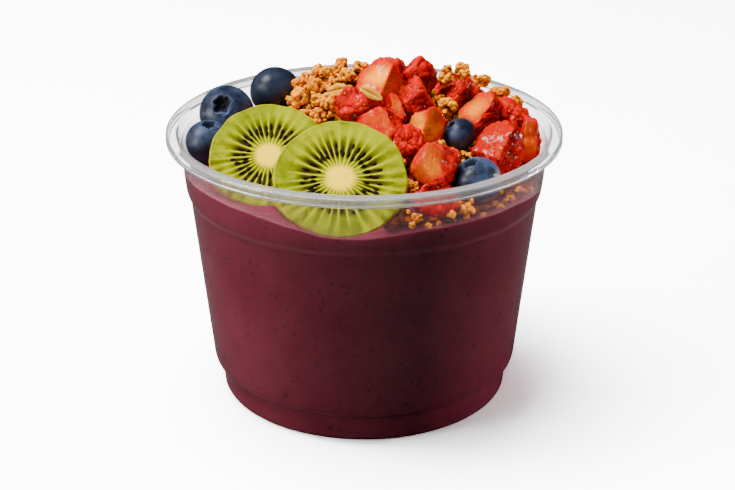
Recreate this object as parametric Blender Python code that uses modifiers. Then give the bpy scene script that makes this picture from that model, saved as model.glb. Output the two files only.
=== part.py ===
"""Acai bowl: a clear cup of acai puree topped with kiwi, berries and granola.

The cup is a turned shell with a lip, a band and a foot. The puree fills it
up to a low dome. A bed of granola lies on the dome, and the fruit is pressed
into the bed and the dome. Lengths below are in millimetres and are turned
into metres when a mesh is made. The cup stands on z = 0, centred on the
origin, and its front faces -Y.
"""

import itertools
import math

import bmesh
import bpy
import numpy as np
from mathutils import Matrix, Vector

MM = 0.001
GAP = 0.3                  # clearance between touching pieces
SEAT_GAP = 0.38            # clearance of a piece in the seat pressed under it

# Cup
RIM_RADIUS = 58.5
CUP_HEIGHT = 83.7
LIP_HEIGHT = 2.9
LIP_ROUNDING = 1.0
LIP_EDGE = 0.6             # rounding of the lip's lower edge
LIP_FLARE = 0.5            # how far the mouth opens within the lip
WALL = 0.6
BASE_THICKNESS = 0.8
BAND_TOP_RADIUS = 54.8     # outer wall just under the lip
BAND_FOOT = (53.55, 65.4)  # radius and height where the upper band ends
SHOULDER = (52.3, 63.6)    # radius and height of the step below the band
BODY_FOOT = (46.8, 12.4)   # radius and height where the wall turns in
TURN_IN = ((1.5, 0.5), (0.4, 1.8))  # curve under the body: in from it, up from the foot
FOOT_RADIUS = 44.0
FOOT_HEIGHT = 8.5
FOOT_DRAFT = 0.4           # how much the foot narrows towards the base
FOOT_ROUNDING = 1.2
CUP_SEGMENTS = 40

# Puree
PUREE_LEVEL = 70.8         # mean height at the wall
PUREE_DOME = 9.0           # rise from the wall to the middle
PUREE_SWELL = 0.35
PUREE_WAVES = (            # angle round the wall and spread in radians, height
    (-2.4, 0.7, 1.8),
    (-0.1, 0.4, -3.6),
)
PUREE_RINGS = 6
PUREE_SEGMENTS = 32

# Granola bed
BED_DEPTH = 3.4
BED_SUNK = 2.0             # how far it would lie under the puree beyond its edge
BED_SLOPE = 8.0            # width over which it thins out
BED_LUMPS = 0.7
BED_EDGE = (6.0, -50.0, -18.0, 12.0)   # line x1, y1, x2, y2; granola to its right
HILLS = (                              # x, y, height and spread
    (-11.5, 17.5, 14.0, 11.5),
    (17.0, 7.0, 6.3, 16.0),
    (36.0, 14.0, 8.0, 7.5),
)
GRANOLA_RINGS = 8
GRANOLA_SEGMENTS = 32
GRANOLA_GAP = 0.4          # clearance to the wall, a little more than the puree's
GRANOLA_FLOOR = 60.0       # the bed starts this deep, before the puree is cut away

# Kiwi slices: name, centre of the front face, radius
KIWI_THICKNESS = 6.6
KIWI_LEAN = 39.0           # tilt of the faces from level, facing the front
KIWI_EDGE = 0.7
KIWI_SEGMENTS = 36
SLOT_SEGMENTS = 24
SLOT_FRONT = 9.0           # how far the slot clears the puree before a slice
KIWIS = (
    ("kiwi_slice_front", (-6.6, -37.6, 81.5), 19.2),
    ("kiwi_slice_back", (-27.2, -24.1, 83.1), 17.6),
)

# Blueberries: name, centre, radius, direction in which the crown points
BLUEBERRIES = (
    ("blueberry_back", (-27.5, 27.0, 84.2), 8.3, (-0.1, -0.45, 0.89)),
    ("blueberry_left", (-42.0, 15.0, 81.6), 8.6, (0.0, -0.72, 0.69)),
    ("blueberry_front_left", (-46.3, -3.0, 79.0), 7.0, (0.1, -0.25, 0.96)),
    ("blueberry_small", (28.0, -10.0, 83.9), 5.2, (-0.65, -0.1, 0.75)),
    ("blueberry_front_right", (32.0, -30.0, 77.4), 7.2, (-0.3, -0.1, 0.95)),
)
BERRY_FLATNESS = 0.92      # height over width
CROWN_ANGLE = 0.42         # radians from the berry's axis to its crown
CROWN_RISE = 0.05          # share of the radius
DIMPLE_ANGLE = 0.3
DIMPLE_DEPTH = 0.2         # share of the radius
BERRY_SEGMENTS = 15
BERRY_RINGS = 8

# Strawberry chunks: centre, half sizes, and cuts as direction and depth,
# where depth is the share of the half size that stays on that side
STRAWBERRIES = (
    ((5.6, 8.0, 93.3), (9.5, 8.1, 7.8), ((-.45, -.50, .74, .35), (.75, -.60, .30, .50), (.1, .2, -1, .6))),
    ((8.0, 20.0, 92.6), (7.6, 6.8, 6.4), ((.3, .8, .5, .5), (-.2, -.3, .93, .75), (0, 0, -1, .6))),
    ((16.4, 13.0, 95.2), (7.3, 7.0, 8.6), ((-.70, .10, .70, .5), (.62, .30, .72, .5), (-.2, -.9, .3, .8))),
    ((16.2, 1.0, 91.0), (7.8, 7.3, 8.2), ((-.75, -.20, .63, .55), (.85, .1, .5, .6), (.1, -.95, .3, .8))),
    ((29.3, 9.0, 91.0), (6.5, 6.0, 7.3), ((-.60, -.30, .74, .55), (.8, -.2, .56, .6), (0, .9, .4, .5))),
    ((34.5, 1.5, 85.8), (8.0, 7.6, 8.6), ((-.50, -.35, .79, .35), (.60, -.75, .20, .6), (-.8, -.55, .1, .7))),
    ((44.0, 3.0, 83.5), (7.3, 6.9, 9.1), ((.5, -.2, .84, .6), (-.5, -.8, .2, .65), (.2, .9, .4, .6))),
    ((48.7, -8.0, 80.3), (5.0, 5.8, 8.9), ((-.3, -.85, .42, .45), (.9, -.3, .2, .6), (-.9, .1, .3, .6))),
    ((38.4, -14.5, 80.6), (10.4, 8.9, 10.2), ((-.45, -.42, .79, .40), (.75, -.62, .15, .6), (-.75, -.62, .1, .6))),
    ((-1.0, -1.5, 89.6), (9.1, 7.3, 7.1), ((-.3, -.7, .65, .7), (.5, .6, .62, .5), (0, .3, -.95, .6))),
    ((8.6, -3.6, 88.8), (5.8, 5.2, 6.0), ((.2, -.6, .77, .45), (-.9, -.3, .2, .6), (.9, 0, .3, .6))),
    ((4.9, -12.0, 86.4), (8.0, 6.7, 7.3), ((-.25, -.72, .65, .4), (.7, -.3, .65, .6), (.1, .4, -.9, .6))),
    ((17.7, -11.0, 86.8), (7.3, 6.7, 8.2), ((-.86, -.40, .30, .42), (.15, -.96, .22, .5), (-.1, .4, .9, .6))),
    ((11.8, -18.5, 83.6), (6.5, 6.3, 7.3), ((-.5, -.7, .5, .6), (.3, -.5, .8, .65), (-.9, .3, .3, .6))),
    ((20.3, -29.3, 82.4), (9.1, 7.8, 9.3), ((-.32, -.88, .36, .42), (-.85, .0, .52, .6), (.3, .5, .8, .5))),
    ((19.8, -41.0, 77.2), (7.6, 6.3, 8.2), ((-.2, -.95, .25, .65), (-.5, .3, .8, .5), (.7, .2, .68, .6))),
    ((28.0, 25.0, 86.0), (8.6, 7.8, 7.6), ((.2, .6, .77, .4), (-.8, .2, .5, .6), (.5, -.1, -.9, .6))),
    ((12.0, 30.0, 86.5), (8.9, 7.6, 7.6), ((-.3, .5, .8, .5), (.7, .6, .3, .6), (-.8, .5, -.3, .6))),
    ((42.0, 19.0, 81.4), (7.3, 8.0, 7.8), ((.5, .3, .8, .5), (-.3, .9, .2, .6), (.2, -.9, .3, .6))),
    ((21.0, 42.0, 79.6), (8.6, 6.9, 7.8), ((.1, .4, .9, .5), (-.8, .5, .2, .6), (.8, .5, .2, .6))),
    ((34.5, 35.0, 79.6), (6.9, 6.9, 7.6), ((.6, .2, .77, .5), (-.3, .9, .3, .6), (-.7, -.5, .4, .6))),
    ((2.0, 44.0, 79.4), (8.0, 6.7, 7.3), ((-.4, .1, .9, .55), (.6, .7, .3, .6), (-.8, .5, .2, .6))),
)
CHUNK_SEGMENTS = 8
CHUNK_RINGS = 6

# Granola clusters that stand on their own: centre, radius
CLUSTERS = (
    ((24.6, -1.6, 89.8), 4.4),
    ((24.4, 10.5, 94.0), 3.8),
    ((34.5, 14.0, 92.0), 3.6),
    ((39.6, 11.0, 89.2), 3.8),
    ((30.5, 17.5, 92.4), 3.6),
    ((-13.0, 38.0, 83.5), 4.6),
)
CLUSTER_KNOBS = 0.12       # shares of the radius
CLUSTER_FLATNESS = 0.1

COLOURS = {
    "clear_plastic": ((0.93, 0.95, 0.95, 0.3), 0.12),
    "acai_puree": ((0.075, 0.012, 0.022, 1.0), 0.35),
    "granola": ((0.60, 0.30, 0.09, 1.0), 0.75),
    "kiwi": ((0.42, 0.50, 0.04, 1.0), 0.35),
    "blueberry": ((0.035, 0.055, 0.12, 1.0), 0.45),
    "strawberry": ((0.70, 0.03, 0.01, 1.0), 0.3),
}


# ---------------------------------------------------------------- scene

def clear_scene():
    for old in list(bpy.data.objects):
        bpy.data.objects.remove(old, do_unlink=True)


def make_collection(name):
    collection = bpy.data.collections.new(name)
    bpy.context.scene.collection.children.link(collection)
    return collection


def make_material(name):
    colour, roughness = COLOURS[name]
    material = bpy.data.materials.get(name) or bpy.data.materials.new(name)
    material.use_nodes = True
    shader = material.node_tree.nodes["Principled BSDF"]
    shader.inputs["Base Color"].default_value = colour
    shader.inputs["Roughness"].default_value = roughness
    shader.inputs["Metallic"].default_value = 0.0
    return material


def add_object(name, mesh, collection, finish=None):
    thing = bpy.data.objects.new(name, mesh)
    collection.objects.link(thing)
    if finish:
        mesh.materials.append(make_material(finish))
        mesh.shade_smooth()
        mesh.set_sharp_from_angle(angle=math.radians(35))
    return thing


def add_body(name, body, collection, finish=None):
    """Put a bmesh in millimetres into the scene as an object in metres."""
    bmesh.ops.triangulate(body, faces=[f for f in body.faces if len(f.verts) > 4])
    centre = sum((v.co for v in body.verts), Vector()) / len(body.verts)
    mesh = bpy.data.meshes.new(name)
    moved = body.copy()
    bmesh.ops.translate(moved, vec=-centre, verts=moved.verts)
    bmesh.ops.scale(moved, vec=(MM, MM, MM), verts=moved.verts)
    moved.to_mesh(mesh)
    moved.free()
    thing = add_object(name, mesh, collection, finish)
    thing.location = centre * MM
    return thing


def add_cutter(name, body, collection):
    cutter = add_body(name, body, collection)
    cutter.hide_render = True
    cutter.display_type = "WIRE"
    return cutter


# ---------------------------------------------------------------- turned shapes

def arc(centre, radius, start, end, steps):
    """Points of a round corner, with its angles in degrees."""
    angles = np.radians(np.linspace(start, end, steps + 1))
    return [(centre[0] + radius * math.cos(a), centre[1] + radius * math.sin(a)) for a in angles]


def wall_outline(inset):
    """The wall's outline from the base up to the band's foot, moved in by inset."""
    base = BASE_THICKNESS if inset else 0.0
    foot = FOOT_RADIUS - inset
    corner = (foot - FOOT_DRAFT - FOOT_ROUNDING, base + FOOT_ROUNDING)
    points = arc(corner, FOOT_ROUNDING, -90, 0, 2)
    points.append((foot, FOOT_HEIGHT))
    points += [(BODY_FOOT[0] - inset - inward, FOOT_HEIGHT + up) for inward, up in TURN_IN]
    points += [(radius - inset, height) for radius, height in (BODY_FOOT, SHOULDER, BAND_FOOT)]
    return points


def inner_radius(height):
    """Radius of the cup's inside at a height."""
    outline = wall_outline(WALL) + [(BAND_TOP_RADIUS - WALL, CUP_HEIGHT - LIP_HEIGHT)]
    radii, heights = zip(*outline)
    return float(np.interp(height, heights, radii))


def turn(name, profile, segments, collection):
    """Turn a profile about Z. It runs down the shape's outer side."""
    mesh = bpy.data.meshes.new(name)
    points = [(r * MM, 0.0, z * MM) for r, z in profile]
    edges = [(i, i + 1) for i in range(len(points) - 1)]
    mesh.from_pydata(points, edges, [])
    thing = bpy.data.objects.new(name, mesh)
    collection.objects.link(thing)
    screw = thing.modifiers.new("turn", "SCREW")
    screw.axis = "Z"
    screw.steps = segments
    screw.render_steps = segments
    screw.use_merge_vertices = True
    screw.merge_threshold = 0.00001
    screw.use_normal_calculate = False
    return thing


def turned_body(profile, segments):
    """A turned shape as a bmesh in millimetres."""
    thing = turn("turned", profile, segments, bpy.context.scene.collection)
    depsgraph = bpy.context.evaluated_depsgraph_get()
    mesh = bpy.data.meshes.new_from_object(thing.evaluated_get(depsgraph))
    body = bmesh.new()
    body.from_mesh(mesh)
    bmesh.ops.scale(body, vec=(1 / MM, 1 / MM, 1 / MM), verts=body.verts)
    bmesh.ops.remove_doubles(body, verts=body.verts, dist=0.001)
    bpy.data.objects.remove(thing, do_unlink=True)
    return body


def make_cup(collection):
    """A thin turned shell: inside from the middle up, over the lip, outside down."""
    lip_foot = CUP_HEIGHT - LIP_HEIGHT
    top = CUP_HEIGHT - LIP_ROUNDING
    inner_lip = BAND_TOP_RADIUS + LIP_FLARE
    profile = [(0.0, BASE_THICKNESS)]
    profile += wall_outline(WALL)
    profile.append((BAND_TOP_RADIUS - WALL, lip_foot))
    profile += arc((inner_lip + LIP_ROUNDING, top), LIP_ROUNDING, 180, 90, 2)
    profile += arc((RIM_RADIUS - LIP_ROUNDING, top), LIP_ROUNDING, 90, 0, 2)
    profile += arc((RIM_RADIUS - LIP_EDGE, lip_foot + LIP_EDGE), LIP_EDGE, 0, -90, 1)
    profile.append((BAND_TOP_RADIUS, lip_foot))
    profile += wall_outline(0.0)[::-1]
    profile.append((0.0, 0.0))
    cup = turn("cup", profile, CUP_SEGMENTS, collection)
    cup.data.materials.append(make_material("clear_plastic"))
    return cup


# ---------------------------------------------------------------- puree and granola

def puree_height(x, y):
    """Top of the puree: a low dome with an uneven line along the wall."""
    level = PUREE_LEVEL
    for middle, spread, height in PUREE_WAVES:
        away = math.remainder(math.atan2(y, x) - middle, 2 * math.pi)
        level += height * math.exp(-(away / spread) ** 2)
    reach = min(1.0, math.hypot(x, y) / inner_radius(PUREE_LEVEL)) ** 2
    swell = PUREE_SWELL * math.sin(x / 7.0) * math.cos(y / 8.0)
    return level * reach + (PUREE_LEVEL + PUREE_DOME) * (1 - reach) + swell


def hill(x, y, form):
    """A round hill: height times exp(-distance squared / 2 spread squared)."""
    cx, cy, height, spread = form
    return height * math.exp(-((x - cx) ** 2 + (y - cy) ** 2) / (2 * spread ** 2))


def granola_height(x, y):
    """Top of the granola: a bed to the right of its edge, with hills on it."""
    x1, y1, x2, y2 = BED_EDGE
    length = math.hypot(x2 - x1, y2 - y1)
    beyond = ((x - x1) * (y2 - y1) - (y - y1) * (x2 - x1)) / length
    share = min(1.0, max(0.0, beyond / BED_SLOPE + 0.4))
    cover = (BED_DEPTH + BED_SUNK) * share * share * (3 - 2 * share) - BED_SUNK
    lumps = BED_LUMPS * math.sin(x / 2.9 + 0.5) * math.sin(y / 3.3)
    return puree_height(x, y) + cover + lumps + sum(hill(x, y, form) for form in HILLS)


def domed_body(height_at, floor_profile, rings, segments, wall_gap):
    """A turned body whose top follows a height function of x and y."""
    edge = inner_radius(PUREE_LEVEL) - wall_gap
    flat_top = 2 * CUP_HEIGHT
    body = turned_body([(edge * i / rings, flat_top) for i in range(rings + 1)] + floor_profile, segments)
    for vert in body.verts:
        if vert.co.z < CUP_HEIGHT:
            continue
        vert.co.z = height_at(vert.co.x, vert.co.y)
        radius = vert.co.xy.length
        if radius > edge - 0.01:
            fit = (inner_radius(vert.co.z) - wall_gap) / radius
            vert.co.x *= fit
            vert.co.y *= fit
    return body


def puree_body():
    floor = [(r - GAP, max(z, BASE_THICKNESS + GAP)) for r, z in wall_outline(WALL)[::-1]]
    floor.append((0.0, BASE_THICKNESS + GAP))
    return domed_body(puree_height, floor, PUREE_RINGS, PUREE_SEGMENTS, GAP)


def puree_seat():
    """The puree raised by GAP, which leaves room under what lies on it."""
    seat = puree_body()
    bmesh.ops.translate(seat, vec=(0, 0, GAP), verts=seat.verts)
    return seat


def granola_body():
    floor = [(inner_radius(GRANOLA_FLOOR) - GRANOLA_GAP, GRANOLA_FLOOR), (0.0, GRANOLA_FLOOR)]
    return domed_body(granola_height, floor, GRANOLA_RINGS, GRANOLA_SEGMENTS, GRANOLA_GAP)


# ---------------------------------------------------------------- fruit

def turned_to(direction):
    """Rotation that takes +Z to a direction."""
    return Vector((0, 0, 1)).rotation_difference(Vector(direction).normalized()).to_matrix().to_4x4()


def kiwi_normal():
    lean = math.radians(KIWI_LEAN)
    return Vector((0.0, -math.sin(lean), math.cos(lean)))


def disc_body(centre, radius, behind, before, segments):
    """A disc square to the kiwi faces, reaching behind and before its centre."""
    body = bmesh.new()
    depth = behind + before
    bmesh.ops.create_cone(body, cap_ends=True, segments=segments, radius1=radius, radius2=radius, depth=depth)
    middle = Vector(centre) + kiwi_normal() * (before - behind) / 2
    place = Matrix.Translation(middle) @ turned_to(kiwi_normal())
    bmesh.ops.transform(body, matrix=place, verts=body.verts)
    return body


def kiwi_body(centre, radius):
    """A round slice with eased edges."""
    body = disc_body(centre, radius, KIWI_THICKNESS, 0.0, KIWI_SEGMENTS)
    rims = [e for e in body.edges if any(len(f.verts) > 4 for f in e.link_faces)]
    bmesh.ops.bevel(body, geom=rims, offset=KIWI_EDGE, segments=1, affect="EDGES")
    return body


def kiwi_seat(centre, radius):
    """The slot a slice presses into what is under it, open before its face."""
    circle = (radius + SEAT_GAP) / math.cos(math.pi / SLOT_SEGMENTS)
    return disc_body(centre, circle, KIWI_THICKNESS + SEAT_GAP, SLOT_FRONT, SLOT_SEGMENTS)


def blueberry_body(centre, radius, crown):
    """A slightly flat ball with a five-pointed crown round a dimple."""
    body = bmesh.new()
    bmesh.ops.create_uvsphere(body, u_segments=BERRY_SEGMENTS, v_segments=BERRY_RINGS, radius=radius)
    for vert in body.verts:
        polar = math.acos(max(-1.0, min(1.0, vert.co.z / radius)))
        around = math.atan2(vert.co.y, vert.co.x)
        point = 0.5 + 0.5 * math.cos(5 * around)
        rim = math.exp(-((polar - CROWN_ANGLE) / (CROWN_ANGLE / 2)) ** 2)
        dimple = math.exp(-(polar / DIMPLE_ANGLE) ** 2)
        vert.co *= 1.0 + CROWN_RISE * rim * point - DIMPLE_DEPTH * dimple
        vert.co.z *= BERRY_FLATNESS
    place = Matrix.Translation(Vector(centre)) @ turned_to(crown)
    bmesh.ops.transform(body, matrix=place, verts=body.verts)
    return body


def cut_away(body, point, normal):
    """Cut a convex body by a plane and close it; the normal side goes."""
    geometry = body.verts[:] + body.edges[:] + body.faces[:]
    bmesh.ops.bisect_plane(body, geom=geometry, plane_co=point, plane_no=normal, clear_outer=True, dist=0.0001)
    bmesh.ops.holes_fill(body, edges=[e for e in body.edges if e.is_boundary])


def strawberry_body(centre, half_sizes, cuts):
    """A rounded piece of strawberry with flat knife cuts."""
    body = bmesh.new()
    bmesh.ops.create_uvsphere(body, u_segments=CHUNK_SEGMENTS, v_segments=CHUNK_RINGS, radius=1.0)
    for x, y, z, depth in cuts:
        normal = Vector((x, y, z)).normalized()
        cut_away(body, normal * depth, normal)
    bmesh.ops.scale(body, vec=half_sizes, verts=body.verts)
    bmesh.ops.translate(body, vec=centre, verts=body.verts)
    return body


def cluster_body(centre, radius, seed):
    """A knobbly lump of granola, as the hull of an uneven ball's points."""
    ball = bmesh.new()
    bmesh.ops.create_icosphere(ball, subdivisions=2, radius=radius)
    body = bmesh.new()
    for vert in ball.verts:
        x, y, z = vert.co / radius
        knobs = CLUSTER_KNOBS * math.sin(5 * x + seed) * math.cos(4 * y - seed)
        uneven = 1.0 + knobs - CLUSTER_FLATNESS * z * z
        body.verts.new(vert.co * uneven + Vector(centre))
    ball.free()
    hull = bmesh.ops.convex_hull(body, input=body.verts[:])
    inner = {g for g in hull["geom_interior"] + hull["geom_unused"] if isinstance(g, bmesh.types.BMVert)}
    bmesh.ops.delete(body, geom=list(inner), context="VERTS")
    return body


# ---------------------------------------------------------------- fitting the pieces together

def corners(body):
    return np.array([v.co for v in body.verts])


def face_directions(body):
    return np.array([f.normal for f in body.faces if f.calc_area() > 0.01])


def part_convex(first, second, first_firm, second_firm):
    """Trim two convex bodies along the plane that parts them best."""
    points_a, points_b = corners(first), corners(second)
    between = points_b.mean(axis=0) - points_a.mean(axis=0)
    axes = np.vstack([face_directions(first), -face_directions(second), between[None] / np.linalg.norm(between)])
    reach_a = (points_a @ axes.T).max(axis=0)
    reach_b = (points_b @ axes.T).min(axis=0)
    best = int(np.argmax(reach_b - reach_a))
    spare = reach_b[best] - reach_a[best]
    if spare >= GAP:
        return
    if first_firm and second_firm:
        raise ValueError("two firm pieces overlap")
    axis = Vector(axes[best])
    if first_firm:
        edge_a, edge_b = reach_a[best], reach_a[best] + GAP
    elif second_firm:
        edge_a, edge_b = reach_b[best] - GAP, reach_b[best]
    else:
        middle = (reach_a[best] + reach_b[best]) / 2
        edge_a, edge_b = middle - GAP / 2, middle + GAP / 2
    if not first_firm:
        cut_away(first, axis * edge_a, axis)
    if not second_firm:
        cut_away(second, axis * edge_b, -axis)


def keep_inside_cup(body):
    """Trim a convex body to the inside of the cup."""
    points = corners(body)
    room = inner_radius(points[:, 2].min()) - GAP
    if np.hypot(points[:, 0], points[:, 1]).max() < room:
        return
    step = 360.0 / CUP_SEGMENTS
    for index in range(CUP_SEGMENTS):
        angle = math.radians(index * step)
        outward = Vector((math.cos(angle), math.sin(angle), 0.0))
        limit = room * math.cos(math.radians(step))
        if (corners(body) @ np.array(outward)).max() > limit:
            cut_away(body, outward * limit, outward)


def seat_body(body):
    """The seat that a piece presses: planes SEAT_GAP off it along the axes and diagonals."""
    points = corners(body)
    centre = Vector(points.mean(axis=0))
    seat = bmesh.new()
    bmesh.ops.create_cube(seat, size=100.0, matrix=Matrix.Translation(centre))
    for steps in itertools.product((-1, 0, 1), repeat=3):
        if sum(map(abs, steps)) in (1, 3):
            outward = Vector(steps).normalized()
            reach = float((points @ np.array(outward)).max()) + SEAT_GAP
            cut_away(seat, outward * reach, outward)
    return seat


def subtract(thing, cutters):
    for cutter in cutters:
        boolean = thing.modifiers.new("seat", "BOOLEAN")
        boolean.operation = "DIFFERENCE"
        boolean.solver = "MANIFOLD"
        boolean.object = cutter


def keep_main_body(thing):
    """Apply the seats and drop the crumbs that they cut free."""
    depsgraph = bpy.context.evaluated_depsgraph_get()
    mesh = bpy.data.meshes.new_from_object(thing.evaluated_get(depsgraph))
    body = bmesh.new()
    body.from_mesh(mesh)
    islands = []
    left = set(body.verts)
    while left:
        island = set()
        stack = [left.pop()]
        while stack:
            vert = stack.pop()
            island.add(vert)
            near = {e.other_vert(vert) for e in vert.link_edges} & left
            left -= near
            stack.extend(near)
        islands.append(island)
    islands.sort(key=len)
    for island in islands[:-1]:
        bmesh.ops.delete(body, geom=list(island), context="VERTS")
    body.to_mesh(mesh)
    body.free()
    thing.modifiers.clear()
    thing.data = mesh
    return len(islands)


def main():
    clear_scene()
    bowl = make_collection("acai_bowl")
    cutters = make_collection("seat_cutters")
    make_cup(bowl)

    firm = []
    for name, centre, radius in KIWIS:
        firm.append((name, kiwi_body(centre, radius), "kiwi"))
    for name, centre, radius, crown in BLUEBERRIES:
        firm.append((name, blueberry_body(centre, radius, crown), "blueberry"))
    soft = []
    for number, (centre, half_sizes, cuts) in enumerate(STRAWBERRIES, start=1):
        soft.append((f"strawberry_{number:02d}", strawberry_body(centre, half_sizes, cuts), "strawberry"))
    for number, (centre, radius) in enumerate(CLUSTERS, start=1):
        soft.append((f"granola_cluster_{number}", cluster_body(centre, radius, number), "granola"))

    pieces = [(piece, True) for piece in firm] + [(piece, False) for piece in soft]
    for index, (first, first_firm) in enumerate(pieces):
        for second, second_firm in pieces[index + 1:]:
            part_convex(first[1], second[1], first_firm, second_firm)
    for name, body, finish in soft:
        keep_inside_cup(body)

    seats = []
    for name, centre, radius in KIWIS:
        seats.append(add_cutter(name + "_seat", kiwi_seat(centre, radius), cutters))
    for name, body, finish in firm + soft:
        add_body(name, body, bowl, finish)
        if finish != "kiwi":
            seats.append(add_cutter(name + "_seat", seat_body(body), cutters))

    puree = add_body("acai_puree", puree_body(), bowl, "acai_puree")
    subtract(puree, seats)
    granola = add_body("granola_bed", granola_body(), bowl, "granola")
    subtract(granola, [add_cutter("puree_seat", puree_seat(), cutters)] + seats)
    keep_main_body(puree)
    keep_main_body(granola)


main()
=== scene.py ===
"""Looks of the acai bowl: clear cup, puree, kiwi, blueberries, strawberries and granola.

Every piece is worked out in metres around the solids of the frame, as numpy
surfaces, and rides on the frame's one body.
"""

import math

import bpy
import numpy as np
from bpy.props import FloatProperty, FloatVectorProperty, IntProperty, PointerProperty
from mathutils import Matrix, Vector


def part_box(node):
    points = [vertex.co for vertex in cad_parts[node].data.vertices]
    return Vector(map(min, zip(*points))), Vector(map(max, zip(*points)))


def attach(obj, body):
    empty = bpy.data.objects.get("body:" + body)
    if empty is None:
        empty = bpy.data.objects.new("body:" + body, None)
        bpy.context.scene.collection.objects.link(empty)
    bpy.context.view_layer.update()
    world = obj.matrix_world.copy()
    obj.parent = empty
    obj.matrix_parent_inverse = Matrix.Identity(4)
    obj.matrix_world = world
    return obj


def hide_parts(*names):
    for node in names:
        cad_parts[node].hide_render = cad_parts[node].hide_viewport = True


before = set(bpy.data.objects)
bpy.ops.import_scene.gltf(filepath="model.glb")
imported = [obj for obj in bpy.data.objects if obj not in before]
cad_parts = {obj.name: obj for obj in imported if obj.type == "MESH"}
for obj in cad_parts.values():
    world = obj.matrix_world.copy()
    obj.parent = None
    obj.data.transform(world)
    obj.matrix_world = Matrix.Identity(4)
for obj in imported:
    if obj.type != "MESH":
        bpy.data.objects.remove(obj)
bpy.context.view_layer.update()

bl_info = {
    "name": "Acai bowl",
    "version": (1, 0, 0),
    "blender": (4, 5, 0),
    "location": "3D View > Sidebar > Acai bowl",
    "description": "Dresses the solids of an acai bowl with its real surfaces",
    "category": "Object",
}

BODY = "root"
MM = 0.001
UP = np.array([0.0, 0.0, 1.0])

CUP_LOW, CUP_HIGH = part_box("cup")
RIM_RADIUS = CUP_HIGH.x
CUP_HEIGHT = CUP_HIGH.z


# ---------------------------------------------------------------- numpy helpers

def smooth_step(low, high, value):
    """t t (3 - 2 t), where t goes from 0 at low to 1 at high."""
    t = np.clip((value - low) / (high - low), 0.0, 1.0)
    return t * t * (3.0 - 2.0 * t)


def hump(middle, width, value):
    """exp(-((value - middle) / width)^2), a smooth bump of height 1."""
    return np.exp(-((value - middle) / width) ** 2)


def ripple(points, wave, seed, layers=5):
    """Mean of sin(k . p + phase) over layers, with |k| about 2 pi / wave, in -1 to 1."""
    draw = np.random.default_rng(seed)
    directions = draw.normal(size=(layers, 3))
    directions /= np.linalg.norm(directions, axis=1)[:, None]
    lengths = 2.0 * math.pi / wave * draw.uniform(0.6, 1.5, layers)
    phases = draw.uniform(0.0, 2.0 * math.pi, layers)
    return np.sin(points @ (directions * lengths[:, None]).T + phases).mean(axis=-1)


def unit(vectors):
    vectors = np.asarray(vectors, float)
    return vectors / np.maximum(np.linalg.norm(vectors, axis=-1, keepdims=True), 1e-12)


def frame_to(direction):
    """3 x 3 matrix whose columns are two sideways directions and the given one."""
    axis = unit(direction)
    side = np.cross([0.0, 1.0, 0.0] if abs(axis[1]) < 0.9 else [1.0, 0.0, 0.0], axis)
    side = unit(side)
    return np.stack([side, np.cross(axis, side), axis], axis=1)


def random_turns(count, draw):
    """Rotation matrices from unit quaternions (w, x, y, z) drawn evenly."""
    w, x, y, z = unit(draw.normal(size=(count, 4))).T
    rows = [
        [1 - 2 * (y * y + z * z), 2 * (x * y - z * w), 2 * (x * z + y * w)],
        [2 * (x * y + z * w), 1 - 2 * (x * x + z * z), 2 * (y * z - x * w)],
        [2 * (x * z - y * w), 2 * (y * z + x * w), 1 - 2 * (x * x + y * y)],
    ]
    return np.moveaxis(np.array(rows), -1, 0)


def grid_triangles(rows, columns, closed=True):
    """Triangles of a grid of points, joined round its columns where closed."""
    across = columns if closed else columns - 1
    i, j = np.meshgrid(np.arange(rows - 1), np.arange(across), indexing="ij")
    a = i * columns + j
    b = i * columns + (j + 1) % columns
    c = a + columns
    d = b + columns
    return np.concatenate([np.stack([a, b, d], -1).reshape(-1, 3), np.stack([a, d, c], -1).reshape(-1, 3)])


def ball_grid(rows, columns):
    """Unit directions (sin t cos a, sin t sin a, cos t), poles first and last, and their triangles."""
    t = np.linspace(0.0, math.pi, rows + 2)[1:-1]
    a = np.arange(columns) * 2.0 * math.pi / columns
    tt, aa = np.meshgrid(t, a, indexing="ij")
    middle = np.stack([np.sin(tt) * np.cos(aa), np.sin(tt) * np.sin(aa), np.cos(tt)], -1).reshape(-1, 3)
    directions = np.concatenate([middle, [[0.0, 0.0, 1.0]], [[0.0, 0.0, -1.0]]])
    top, bottom = rows * columns, rows * columns + 1
    j = np.arange(columns)
    k = (j + 1) % columns
    last = (rows - 1) * columns
    caps = np.concatenate([
        np.stack([np.full(columns, top), j, k], -1),
        np.stack([np.full(columns, bottom), last + k, last + j], -1),
    ])
    body = grid_triangles(rows, columns)[:, ::-1]
    return directions, np.concatenate([body, caps])


def turned_surface(radii, heights, columns):
    """(r cos a, r sin a, z) for each profile point, closed by one point where r is 0 at an end."""
    a = np.arange(columns) * 2.0 * math.pi / columns
    ring = np.stack([np.cos(a), np.sin(a), np.zeros(columns)], -1)
    points = (radii[:, None, None] * ring + heights[:, None, None] * UP).reshape(-1, 3)
    return points, grid_triangles(len(radii), columns)


def copies(shape, triangles, places, sizes, turns):
    """place + turn (size * shape) for every copy, as one set of points and triangles."""
    points = np.einsum("nij,nvj->nvi", turns, shape[None] * sizes[:, None, :]) + places[:, None, :]
    offsets = np.arange(len(places)) * shape.shape[0]
    faces = triangles[None] + offsets[:, None, None]
    return points.reshape(-1, 3), faces.reshape(-1, 3)


def joined(parts):
    """Several (points, triangles) as one."""
    offset = 0
    all_points, all_faces = [], []
    for points, faces in parts:
        all_points.append(points)
        all_faces.append(faces + offset)
        offset += len(points)
    return np.concatenate(all_points), np.concatenate(all_faces)


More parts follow.
